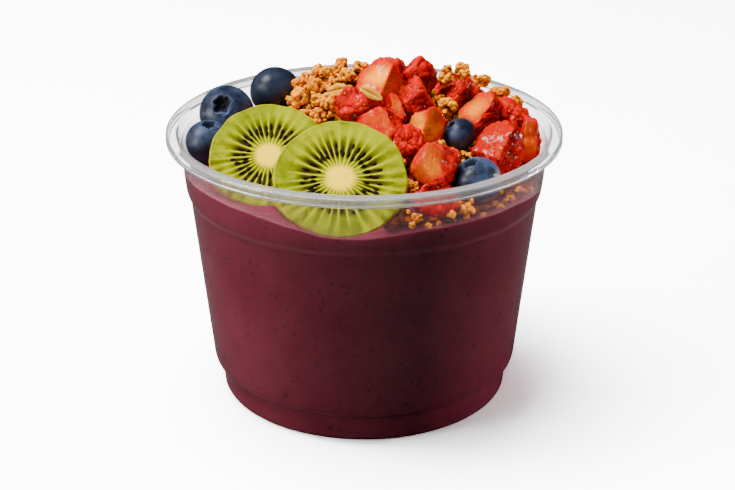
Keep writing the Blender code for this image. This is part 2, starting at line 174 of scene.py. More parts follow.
def mesh_piece(name, points, triangles, material, values=None, corner_uv=None, smooth=True):
    """Put points and triangles into a mesh that rides on the bowl."""
    mesh = bpy.data.meshes.new(name)
    mesh.vertices.add(len(points))
    mesh.vertices.foreach_set("co", np.ascontiguousarray(points, np.float32).ravel())
    mesh.loops.add(len(triangles) * 3)
    mesh.loops.foreach_set("vertex_index", np.ascontiguousarray(triangles, np.int32).ravel())
    mesh.polygons.add(len(triangles))
    mesh.polygons.foreach_set("loop_start", np.arange(len(triangles), dtype=np.int32) * 3)
    mesh.update(calc_edges=True)
    for key, numbers in (values or {}).items():
        attribute = mesh.attributes.new(key, "FLOAT", "POINT")
        attribute.data.foreach_set("value", np.ascontiguousarray(numbers, np.float32))
    if corner_uv is not None:
        layer = mesh.uv_layers.new(name="around")
        layer.data.foreach_set("uv", np.ascontiguousarray(corner_uv, np.float32).ravel())
    if smooth:
        mesh.shade_smooth()
    mesh.materials.append(material)
    piece = bpy.data.objects.new(name, mesh)
    bpy.context.scene.collection.objects.link(piece)
    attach(piece, BODY)
    return piece


class Solid:
    """A convex solid of the frame: centre, and its faces as outward normals and distances."""

    def __init__(self, name):
        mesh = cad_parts[name].data
        points = np.zeros(len(mesh.vertices) * 3, np.float32)
        mesh.vertices.foreach_get("co", points)
        self.points = points.reshape(-1, 3).astype(float)
        mesh.calc_loop_triangles()
        corners = np.zeros(len(mesh.loop_triangles) * 3, np.int32)
        mesh.loop_triangles.foreach_get("vertices", corners)
        self.triangles = corners.reshape(-1, 3)
        a, b, c = (self.points[self.triangles[:, k]] for k in range(3))
        cross = np.cross(b - a, c - a)
        self.areas = np.linalg.norm(cross, axis=1) / 2.0
        self.face_normals = unit(cross)
        self.face_centres = (a + b + c) / 3.0
        self.centre = (self.points.min(axis=0) + self.points.max(axis=0)) / 2.0
        keep = self.areas > 1e-9
        normals = self.face_normals[keep]
        distances = np.einsum("ij,ij->i", normals, self.face_centres[keep] - self.centre)
        planes = np.unique(np.round(np.column_stack([normals, distances / MM]), 2), axis=0)
        self.normals = unit(planes[:, :3])
        self.distances = planes[:, 3] * MM

    def reach(self, directions, sharpness):
        """r(u) = (sum over faces of max(0, n . u / d)^p)^(-1/p), a hull with rounded edges."""
        lean = np.maximum(directions @ self.normals.T / self.distances, 0.0)
        top = lean.max(axis=1, keepdims=True)
        return 1.0 / (top[:, 0] * ((lean / top) ** sharpness).sum(axis=1) ** (1.0 / sharpness))

    def clearance(self, points):
        """How far points are outside the solid: max over faces of n . (p - centre) - d."""
        return ((points - self.centre) @ self.normals.T - self.distances).max(axis=1)


# ---------------------------------------------------------------- material helper

class Finish:
    """Builds one material's nodes by short calls; every call returns an output socket."""

    def __init__(self, name):
        self.material = bpy.data.materials.new(name)
        self.material.use_nodes = True
        self.tree = self.material.node_tree
        self.shader = self.tree.nodes["Principled BSDF"]
        self.output = self.tree.nodes["Material Output"]
        self.place = self.node("ShaderNodeTexCoord").outputs["Object"]

    def node(self, kind, **settings):
        made = self.tree.nodes.new(kind)
        for key, value in settings.items():
            setattr(made, key, value)
        return made

    def feed(self, socket, value):
        if isinstance(value, bpy.types.NodeSocket):
            self.tree.links.new(value, socket)
        elif hasattr(value, "__len__") and len(value) == 3 and socket.type == "RGBA":
            socket.default_value = (*value, 1.0)
        else:
            socket.default_value = value

    def math(self, operation, first, second=0.0, third=None, clamp=False):
        made = self.node("ShaderNodeMath", operation=operation, use_clamp=clamp)
        self.feed(made.inputs[0], first)
        self.feed(made.inputs[1], second)
        if third is not None:
            self.feed(made.inputs[2], third)
        return made.outputs[0]

    def step(self, value, low, high):
        """0 below low and 1 above high, smooth between; falls where low is above high."""
        made = self.node("ShaderNodeMapRange", interpolation_type="SMOOTHSTEP")
        self.feed(made.inputs["Value"], value)
        made.inputs["From Min"].default_value = min(low, high)
        made.inputs["From Max"].default_value = max(low, high)
        made.inputs["To Min"].default_value = 0.0 if low < high else 1.0
        made.inputs["To Max"].default_value = 1.0 if low < high else 0.0
        return made.outputs["Result"]

    def mix(self, share, first, second, blend="MIX"):
        made = self.node("ShaderNodeMix", data_type="RGBA", blend_type=blend)
        self.feed(made.inputs["Factor"], share)
        self.feed(made.inputs["A"] if False else made.inputs[6], first)
        self.feed(made.inputs[7], second)
        return made.outputs[2]

    def noise(self, scale, detail=2.0, roughness=0.5, place=None, distortion=0.0):
        made = self.node("ShaderNodeTexNoise")
        self.feed(made.inputs["Vector"], place or self.place)
        made.inputs["Scale"].default_value = scale
        made.inputs["Detail"].default_value = detail
        made.inputs["Roughness"].default_value = roughness
        made.inputs["Distortion"].default_value = distortion
        return made.outputs["Fac"]

    def cells(self, scale, feature="F1", output="Distance", place=None, randomness=1.0):
        made = self.node("ShaderNodeTexVoronoi", feature=feature)
        self.feed(made.inputs["Vector"], place or self.place)
        made.inputs["Scale"].default_value = scale
        made.inputs["Randomness"].default_value = randomness
        return made.outputs[output]

    def value(self, name):
        return self.node("ShaderNodeAttribute", attribute_name=name).outputs["Fac"]

    def stretched(self, scale):
        """Object place times a scale along each axis."""
        made = self.node("ShaderNodeMapping")
        self.feed(made.inputs["Vector"], self.place)
        made.inputs["Scale"].default_value = scale
        return made.outputs["Vector"]

    def relief(self, height, distance, strength=1.0, normal=None):
        made = self.node("ShaderNodeBump")
        self.feed(made.inputs["Height"], height)
        made.inputs["Distance"].default_value = distance
        made.inputs["Strength"].default_value = strength
        if normal is not None:
            self.feed(made.inputs["Normal"], normal)
        return made.outputs["Normal"]

    def set(self, **inputs):
        for key, value in inputs.items():
            self.feed(self.shader.inputs[key.replace("_", " ")], value)
        return self.material


# ---------------------------------------------------------------- settings

class AcaiCupSettings(bpy.types.PropertyGroup):
    wall: FloatProperty(name="Wall", description="Thickness of the plastic", default=0.6 * MM, unit="LENGTH")
    haze: FloatProperty(name="Haze", description="Share of milky scatter in the wall", default=0.004, subtype="FACTOR")
    lip_haze: FloatProperty(name="Lip haze", description="Share of milky scatter in the lip", default=0.10, subtype="FACTOR")
    roughness: FloatProperty(name="Roughness", description="Roughness of the plastic", default=0.08, subtype="FACTOR")
    tint: FloatVectorProperty(name="Tint", description="Colour of the wall", default=(0.93, 0.93, 0.94), subtype="COLOR")
    lip_tint: FloatVectorProperty(name="Lip tint", description="Colour of the thicker lip", default=(0.84, 0.84, 0.85), subtype="COLOR")


class AcaiPureeSettings(bpy.types.PropertyGroup):
    dark: FloatVectorProperty(name="Dark", description="Deeper puree colour", default=(0.104, 0.0082, 0.0195), subtype="COLOR")
    light: FloatVectorProperty(name="Light", description="Lighter puree colour", default=(0.138, 0.0180, 0.0335), subtype="COLOR")
    film: FloatVectorProperty(name="Film", description="Thin smear on the wall", default=(0.34, 0.130, 0.150), subtype="COLOR")
    speck: FloatVectorProperty(name="Speck", description="Bits of berry skin", default=(0.040, 0.004, 0.010), subtype="COLOR")


class AcaiKiwiSettings(bpy.types.PropertyGroup):
    flesh: FloatVectorProperty(name="Flesh", description="Outer flesh", default=(0.170, 0.178, 0.0002), subtype="COLOR")
    deep: FloatVectorProperty(name="Deep", description="Flesh between the seeds", default=(0.022, 0.014, 0.0006), subtype="COLOR")
    ray: FloatVectorProperty(name="Ray", description="Pale rays", default=(0.50, 0.50, 0.004), subtype="COLOR")
    core: FloatVectorProperty(name="Core", description="Core", default=(1.0, 0.66, 0.004), subtype="COLOR")
    seeds: IntProperty(name="Seeds", description="Seeds in each ring", default=32)


class AcaiBlueberrySettings(bpy.types.PropertyGroup):
    skin: FloatVectorProperty(name="Skin", description="Dark skin", default=(0.006, 0.008, 0.016), subtype="COLOR")
    bloom: FloatVectorProperty(name="Bloom", description="Waxy bloom", default=(0.036, 0.055, 0.112), subtype="COLOR")


class AcaiStrawberrySettings(bpy.types.PropertyGroup):
    skin: FloatVectorProperty(name="Skin", description="Red skin", default=(0.62, 0.0009, 0.0006), subtype="COLOR")
    cut: FloatVectorProperty(name="Cut", description="Edge of a cut face", default=(0.47, 0.024, 0.0001), subtype="COLOR")
    heart: FloatVectorProperty(name="Heart", description="Middle of a cut face", default=(0.96, 0.275, 0.0001), subtype="COLOR")


class AcaiGranolaSettings(bpy.types.PropertyGroup):
    toast: FloatVectorProperty(name="Toast", description="Toasted crumb", default=(0.46, 0.078, 0.0003), subtype="COLOR")
    pale: FloatVectorProperty(name="Pale", description="Pale crumb", default=(0.95, 0.335, 0.0005), subtype="COLOR")
    crumb: FloatProperty(name="Crumb", description="Radius of one crumb", default=1.25 * MM, unit="LENGTH")


class AcaiStageSettings(bpy.types.PropertyGroup):
    lens: FloatProperty(name="Lens", description="Focal length in mm", default=88.0)
    distance: FloatProperty(name="Distance", description="Camera distance", default=0.5521, unit="LENGTH")
    elevation: FloatProperty(name="Elevation", description="Camera height angle", default=math.radians(24.08), subtype="ANGLE")
    floor: FloatVectorProperty(name="Floor", description="Floor colour", default=(0.90, 0.895, 0.90), subtype="COLOR")
    glow: FloatProperty(name="Glow", description="How much brighter the floor looks than it lights", default=4.1)
    dome: FloatProperty(name="Top light", description="Power of the wide sheet of light overhead", default=34.0)
    key: FloatProperty(name="Key light", description="Power of the lamp at the upper left", default=8.5)
    side: FloatProperty(name="Side light", description="Power of the lamp at the left", default=6.2)
    rim: FloatProperty(name="Rim light", description="Power of the lamp at the right", default=6.0)
    fill: FloatProperty(name="Fill light", description="Power of the wide weak lamp at the front right", default=0.8)


# ---------------------------------------------------------------- shared shapes

KIWI_LEAN = math.radians(39.0)
KIWI_NORMAL = np.array([0.0, -math.sin(KIWI_LEAN), math.cos(KIWI_LEAN)])
KIWI_UPWARD = np.array([0.0, math.cos(KIWI_LEAN), math.sin(KIWI_LEAN)])
KIWIS = ("kiwi_slice_front", "kiwi_slice_back")

# Where each berry's crown points, and a share that sets its bloom colour from 0.4 to 1.9 times the setting
CROWNS = {
    "blueberry_back": ((0.25, 0.90, 0.35), 0.08),
    "blueberry_left": ((-0.12, -0.76, 0.64), 0.68),
    "blueberry_front_left": ((0.1, -0.20, 0.97), 0.60),
    "blueberry_small": ((-0.65, -0.1, 0.75), 0.75),
    "blueberry_front_right": ((-0.35, -0.1, 0.93), 1.0),
}
STRAWBERRIES = [f"strawberry_{k:02d}" for k in range(1, 23)]
CLUSTERS = [f"granola_cluster_{k}" for k in range(1, 7)]

# Bits of granola against the wall at the front right: x, height and half size in mm
FRONT_BITS = np.array([
    (13.0, 72.3, 1.3), (14.5, 74.2, 1.6), (17.4, 71.4, 1.3), (20.5, 71.8, 0.9), (24.2, 72.9, 2.0),
    (28.6, 72.5, 2.7), (33.0, 71.2, 0.9), (37.8, 71.2, 1.6), (41.5, 71.4, 2.0), (44.5, 71.0, 2.5), (47.5, 70.0, 1.7),
])


# Larger bits on the heap's top and at the back right: x, y, height and half size in mm
TOP_BITS = np.array([
    (-7.4, 19.0, 94.9, 2.8), (-10.4, 17.0, 92.6, 2.6), (-1.0, 19.0, 94.8, 2.6), (-3.6, 16.0, 91.4, 2.2),
    (-14.4, 18.5, 93.7, 2.5), (-17.9, 17.5, 92.0, 2.2), (36.6, 15.0, 92.2, 2.4), (42.4, 9.6, 90.4, 2.2),
    (29.6, 20.0, 94.0, 2.3), (45.6, 6.4, 88.2, 1.9), (25.4, 22.0, 93.0, 2.0),
])
# Two large oat flakes: middle, the way up, the way along in mm or as directions, half length and half width in mm
LARGE_FLAKES = (
    ((-8.0, 4.2, 92.7), (-0.05, -0.72, 0.69), (0.97, 0.10, 0.22), 3.1, 2.0),
    ((2.0, -5.5, 94.9), (-0.05, -0.85, 0.52), (0.90, -0.12, -0.52), 3.8, 1.5),
)


class Slice:
    """Place of one kiwi slice: middle of its front face, radius and thickness."""

    def __init__(self, name):
        low, high = (np.array(corner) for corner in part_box(name))
        self.radius = (high[0] - low[0]) / 2.0
        depth = high[1] - low[1]
        self.thickness = (depth - 2.0 * self.radius * math.cos(KIWI_LEAN)) / math.sin(KIWI_LEAN)
        self.front = (low + high) / 2.0 + KIWI_NORMAL * self.thickness / 2.0

    def within(self, points, margin):
        """Whether points are in the slice grown by margin."""
        away = points - self.front
        height = away @ KIWI_NORMAL
        across = np.hypot(away[..., 0], away @ KIWI_UPWARD)
        return (across < self.radius + margin) & (height < margin) & (height > -self.thickness - margin)


def corner_cut(path, rounds=3, share=0.25):
    """Cuts each corner of an open path at a share of both its sides, keeping the two ends."""
    path = np.asarray(path, float)
    for _ in range(rounds):
        near = path[:-1] * (1 - share) + path[1:] * share
        far = path[:-1] * share + path[1:] * (1 - share)
        path = np.concatenate([path[:1], np.stack([near, far], 1).reshape(-1, 2)[1:-1], path[-1:]])
    return path


def sheet_outline(path, thickness):
    """A path thickened to both sides: path + n t/2 going out, path - n t/2 coming back."""
    along = np.gradient(path, axis=0)
    normal = unit(np.stack([along[:, 1], -along[:, 0]], -1))
    outer = path + normal * thickness / 2.0
    inner = path - normal * thickness / 2.0
    tip = path[-1] + unit(along[-1]) * thickness * 0.45
    return np.concatenate([outer, [tip], inner[::-1]])


def cup_path():
    """Middle of the plastic sheet as radius and height in mm, from the axis to the rolled lip's end."""
    return np.array([
        (0.0, 0.4), (20.0, 0.4), (40.0, 0.4), (42.6, 0.4), (43.5, 1.2), (43.6, 2.4), (43.7, 7.6),
        (43.9, 8.7), (44.8, 9.1), (45.9, 9.9), (46.4, 11.2), (46.6, 13.2), (51.75, 61.0), (52.0, 63.2),
        (52.9, 64.9), (53.3, 66.8), (54.3, 78.8), (54.8, 80.4), (55.3, 81.7), (55.6, 82.8), (56.4, 83.15),
        (57.6, 83.15), (58.5, 82.9), (58.65, 82.0), (58.45, 81.4), (58.65, 80.9), (58.5, 80.5), (57.9, 80.4),
    ])


SHEET = corner_cut(cup_path()) * MM
SHEET_SIDE = SHEET[(SHEET[:, 0] > 43.0 * MM) & (SHEET[:, 0] < 55.7 * MM)]


def wall_radius(height, inset):
    """Radius of the middle of the plastic at a height, less inset."""
    return np.interp(height, SHEET_SIDE[:, 1], SHEET_SIDE[:, 0]) - inset


PUREE_LEVEL = 70.8 * MM
PUREE_DOME = 9.0 * MM


def wall_level(angle):
    """Height of the puree line round the wall: the level plus a few broad waves."""
    level = np.full_like(angle, PUREE_LEVEL)
    for middle, spread, height in ((-2.4, 0.7, 1.8 * MM), (-0.1, 0.4, -3.6 * MM), (-1.70, 0.30, -2.6 * MM)):
        away = (angle - middle + math.pi) % (2 * math.pi) - math.pi
        level += height * hump(0.0, spread, away)
    return level


def puree_height(x, y):
    """level q + (level + dome) (1 - q) + a small swell, with q = (r / wall radius)^2."""
    share = np.minimum(1.0, np.hypot(x, y) / (53.4 * MM)) ** 2
    swell = 0.35 * MM * np.sin(x / (7.0 * MM)) * np.cos(y / (8.0 * MM))
    return wall_level(np.arctan2(y, x)) * share + (PUREE_LEVEL + PUREE_DOME) * (1 - share) + swell


def pressed_by(kiwi, x, y, height):
    """Height lowered to the underside of the slot that a leaning slice has pressed."""
    a = x - kiwi.front[0]
    b = y - kiwi.front[1]
    reach = np.sqrt(np.maximum((kiwi.radius + 0.1 * MM) ** 2 - a * a, 0.0))
    rim_low = kiwi.front[2] + (-reach - b * math.cos(KIWI_LEAN)) / math.sin(KIWI_LEAN)
    rim_high = kiwi.front[2] + (reach - b * math.cos(KIWI_LEAN)) / math.sin(KIWI_LEAN)
    back = kiwi.front[2] + (b * math.sin(KIWI_LEAN) - kiwi.thickness) / math.cos(KIWI_LEAN)
    low = np.maximum(rim_low, back)
    inside = (reach > 0) & (low < height) & (height < rim_high)
    return np.where(inside, low, height)


# ---------------------------------------------------------------- operators

class ACAI_OT_cup(bpy.types.Operator):
    """Build the clear cup with its foot, step, band and rolled lip"""

    bl_idname = "acai.cup"
    bl_label = "Cup"

    def execute(self, context):
        look = context.scene.acai_cup
        outline = sheet_outline(SHEET, look.wall)
        outline[0, 0] = outline[-1, 0] = 0.0
        points, triangles = turned_surface(outline[:, 0], outline[:, 1], 128)
        flat = np.linalg.norm(points[triangles[:, 0]] - points[triangles[:, 1]], axis=1)
        edges = [np.linalg.norm(points[triangles[:, i]] - points[triangles[:, (i + 1) % 3]], axis=1) for i in (1, 2)]
        triangles = triangles[(flat > 1e-9) & (edges[0] > 1e-9) & (edges[1] > 1e-9)]
        piece = mesh_piece("cup_shell", points, triangles, self.plastic("cup_wall_look", look.tint, look.haze, 0.15, look.roughness))
        piece.data.materials.append(self.plastic("cup_lip_look", look.lip_tint, look.lip_haze, 0.6, 0.4 * look.roughness))
        lip = points[triangles][:, :, 2].mean(axis=1) > 80.4 * MM
        piece.data.polygons.foreach_set("material_index", lip.astype(np.int32))
        merge_close(piece)
        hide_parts("cup")
        return {"FINISHED"}

    def plastic(self, name, shade, haze, gloss, rough):
        finish = Finish(name)
        tone = finish.noise(90.0, 3.0)
        tint = finish.mix(finish.step(tone, 0.35, 0.7), shade, tuple(0.96 * c for c in shade))
        finish.set(
            Base_Color=tint, Roughness=rough, IOR=1.45, Transmission_Weight=1.0 - haze,
            Specular_IOR_Level=gloss,
        )
        clear = finish.node("ShaderNodeBsdfTransparent")
        clear.inputs["Color"].default_value = (0.97, 0.97, 0.97, 1.0)
        rays = finish.node("ShaderNodeLightPath")
        mixed = finish.node("ShaderNodeMixShader")
        finish.tree.links.new(rays.outputs["Is Shadow Ray"], mixed.inputs[0])
        finish.tree.links.new(finish.shader.outputs["BSDF"], mixed.inputs[1])
        finish.tree.links.new(clear.outputs[0], mixed.inputs[2])
        finish.tree.links.new(mixed.outputs[0], finish.output.inputs["Surface"])
        return finish.material


def merge_close(piece, distance=1e-6):
    """Join points that lie on one another, as at the axis of a turned surface."""
    import bmesh
    body = bmesh.new()
    body.from_mesh(piece.data)
    bmesh.ops.remove_doubles(body, verts=body.verts, dist=distance)
    bmesh.ops.dissolve_degenerate(body, edges=body.edges, dist=distance / 10)
    body.to_mesh(piece.data)
    body.free()
    piece.data.update()


class ACAI_OT_puree(bpy.types.Operator):
    """Build the puree that fills the cup up to an uneven dome"""

    bl_idname = "acai.puree"
    bl_label = "Puree"

    rings = 80
    columns = 240

    def execute(self, context):
        look = context.scene.acai_puree
        angle = np.arange(self.columns) * 2.0 * math.pi / self.columns
        side = SHEET[SHEET[:, 1] < PUREE_LEVEL - 6 * MM]
        rise = np.linspace(0.0, 1.0, 24)[1:]
        line = wall_level(angle) + 0.25 * MM * ripple(
            np.stack([np.cos(angle), np.sin(angle), 0 * angle], -1), 0.25, 3)
        smear = self.smear(angle)
        foot = side[-1, 1]
        lift = foot + rise[:, None] * (line + smear - foot)
        wall = wall_radius(lift, 0.0)
        film_part = smooth_step(0.0, 1.0, (lift - line) / np.maximum(smear, 1e-6))
        inward = (0.5 * MM + 0.4 * MM * (1 - film_part)) * (lift > line)
        ring = np.stack([np.cos(angle), np.sin(angle)], -1)
        low = np.concatenate([
            np.repeat(side[:, None, 0:1], self.columns, 1) * ring[None],
            np.repeat(side[:, None, 1:2], self.columns, 1),
        ], -1)
        high = np.concatenate([wall[..., None] * ring[None], lift[..., None]], -1)
        share = np.linspace(1.0, 0.0, self.rings)[1:]
        edge = wall[-1] - 1.1 * MM
        radius = share[:, None] * edge[None, :]
        x, y = radius * ring[:, 0], radius * ring[:, 1]
        height = self.top_height(x, y)
        near = smooth_step(edge - 2.5 * MM, edge, radius)
        height = height + near * 0.5 * MM
        turn_in = np.concatenate([((wall[-1] - 0.7 * MM)[:, None]) * ring, lift[-1][:, None]], -1)[None]
        drop = np.concatenate([((wall[-1] - 1.0 * MM)[:, None]) * ring,
                               (self.top_height(edge * ring[:, 0], edge * ring[:, 1]) + 0.6 * MM)[:, None]], -1)[None]
        drop[..., 2] = np.minimum(drop[..., 2], lift[-1])
        top = np.stack([x, y, height], -1)
        points = np.concatenate([low, high, turn_in, drop, top])
        left = smooth_step(0.2, 0.8, smear / MM)
        film = np.concatenate([
            np.zeros((len(side), self.columns)), film_part * left, np.repeat(left[None], 2, 0),
            np.zeros((len(top), self.columns)),
        ])
        triangles = grid_triangles(len(points), self.columns)
        piece = mesh_piece(
            "puree_fill", points.reshape(-1, 3), triangles, self.finish(look),
            values={"film": film.ravel()},
        )
        merge_close(piece)
        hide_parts("acai_puree")
        self.film_sheet(look)
        return {"FINISHED"}

    def film_sheet(self, look):
        """A closed thin band on the inside of the wall: wall radius - inset, from the puree line to the lip."""
        angle = np.arange(240) * 2.0 * math.pi / 240
        ring = np.stack([np.cos(angle), np.sin(angle)], -1)
        line = wall_level(angle)
        rise = np.linspace(0.0, 1.0, 20)[:, None]
        height = (line - 0.8 * MM) + rise * (80.2 * MM - line + 0.8 * MM)
        outer = wall_radius(height, 0.34 * MM)
        loop = np.concatenate([outer, outer[::-1] - 0.05 * MM, outer[:1]])
        level = np.concatenate([height, height[::-1], height[:1]])
        points = np.concatenate([loop[..., None] * ring, level[..., None]], -1)
        over = np.maximum(level - line, 0.0)
        left = hump(0.0, 0.50, (angle + 2.95 + math.pi) % (2 * math.pi) - math.pi)
        right = hump(0.0, 0.55, (angle + 0.10 + math.pi) % (2 * math.pi) - math.pi)
        fade = 1.0 - 0.45 * smooth_step(1.0 * MM, 9.0 * MM, over)
        smear = np.clip(0.50 * np.exp(-over / (1.3 * MM)) + 0.10 + (0.50 * left + 0.42 * right) * fade, 0.0, 1.0)
        pink = np.clip(left + right + 0.9 * np.exp(-over / (2.0 * MM)), 0.0, 1.0) * np.ones_like(over)
        piece = mesh_piece(
            "puree_film", points.reshape(-1, 3), grid_triangles(len(loop), 240), self.film_finish(look),
            values={"smear": smear.ravel(), "pink": pink.ravel()},
        )
        merge_close(piece)

    def film_finish(self, look):
        finish = Finish("puree_film_look")
        fine = finish.noise(900.0, 3.0, 0.65)
        broad = finish.noise(110.0, 3.0, 0.6)
        colour = finish.mix(finish.value("pink"), (0.14, 0.040, 0.040), look.film)
        colour = finish.mix(finish.math("MULTIPLY", finish.step(broad, 0.35, 0.7), 0.25), colour, tuple(0.6 * c for c in look.film))
        share = finish.math("ADD", finish.math("MULTIPLY", finish.step(broad, 0.25, 0.75), 0.20), finish.math("MULTIPLY_ADD", fine, 0.2, 0.70))
        alpha = finish.math("MULTIPLY", finish.value("smear"), finish.math("MULTIPLY", share, 0.85), clamp=True)
        return finish.set(Base_Color=colour, Roughness=0.6, Specular_IOR_Level=0.0, Alpha=alpha)

    def smear(self, angle):
        """How far a thin film stays on the wall over the line, most at the left."""
        left = (angle - math.pi * 1.12 + math.pi) % (2 * math.pi) - math.pi
        streak = 0.5 + 0.5 * ripple(np.stack([np.cos(angle), np.sin(angle), 0 * angle], -1), 0.16, 8)
        return (0.25 + 0.5 * hump(0.0, 0.9, left) * streak) * MM

    def top_height(self, x, y):
        height = puree_height(x, y)
        for name in KIWIS:
            height = pressed_by(Slice(name), x, y, height)
        lumps = 0.22 * MM * ripple(np.stack([x, y, 0 * x], -1), 5 * MM, 5, 8)
        return height + lumps

    def finish(self, look):
        finish = Finish("acai_puree_look")
        broad = finish.step(finish.noise(26.0, 3.0, 0.55), 0.3, 0.72)
        colour = finish.mix(broad, look.dark, look.light)
        fine = finish.noise(420.0, 2.0)
        colour = finish.mix(finish.math("MULTIPLY", finish.step(fine, 0.5, 0.8), 0.3), colour, tuple(0.75 * c for c in look.dark))
        patches = finish.math("MULTIPLY", finish.step(finish.noise(130.0, 1.0), 0.42, 0.60), 0.7)
        speck = finish.math("MULTIPLY", finish.step(finish.noise(620.0, 2.0, 0.6, distortion=0.6), 0.60, 0.70), patches)
        colour = finish.mix(speck, colour, look.speck)
        parts = finish.node("ShaderNodeSeparateXYZ")
        finish.feed(parts.inputs[0], finish.place)
        # Painted highlights: thin lighter bands at the heights of the shoulder step and the foot step, where the
        # plastic's steps catch the light
        for height, width in ((64.2 * MM, 1.3 * MM), (9.6 * MM, 1.2 * MM)):
            away = finish.math("ABSOLUTE", finish.math("SUBTRACT", parts.outputs[2], height))
            thin = finish.math("MULTIPLY", finish.step(away, width, 0.2 * MM), 0.5)
            colour = finish.mix(thin, colour, tuple(1.6 * c + 0.01 for c in look.light))
        film = finish.value("film")
        colour = finish.mix(finish.math("MULTIPLY", film, 0.30), colour, look.film)
        return finish.set(
            Base_Color=colour, Roughness=0.6, Specular_IOR_Level=0.0,
            Subsurface_Weight=0.15, Subsurface_Radius=(0.8, 0.3, 0.3), Subsurface_Scale=1.2 * MM,
            Normal=finish.relief(finish.noise(70.0, 2.0), 0.5 * MM, 0.25),
        )


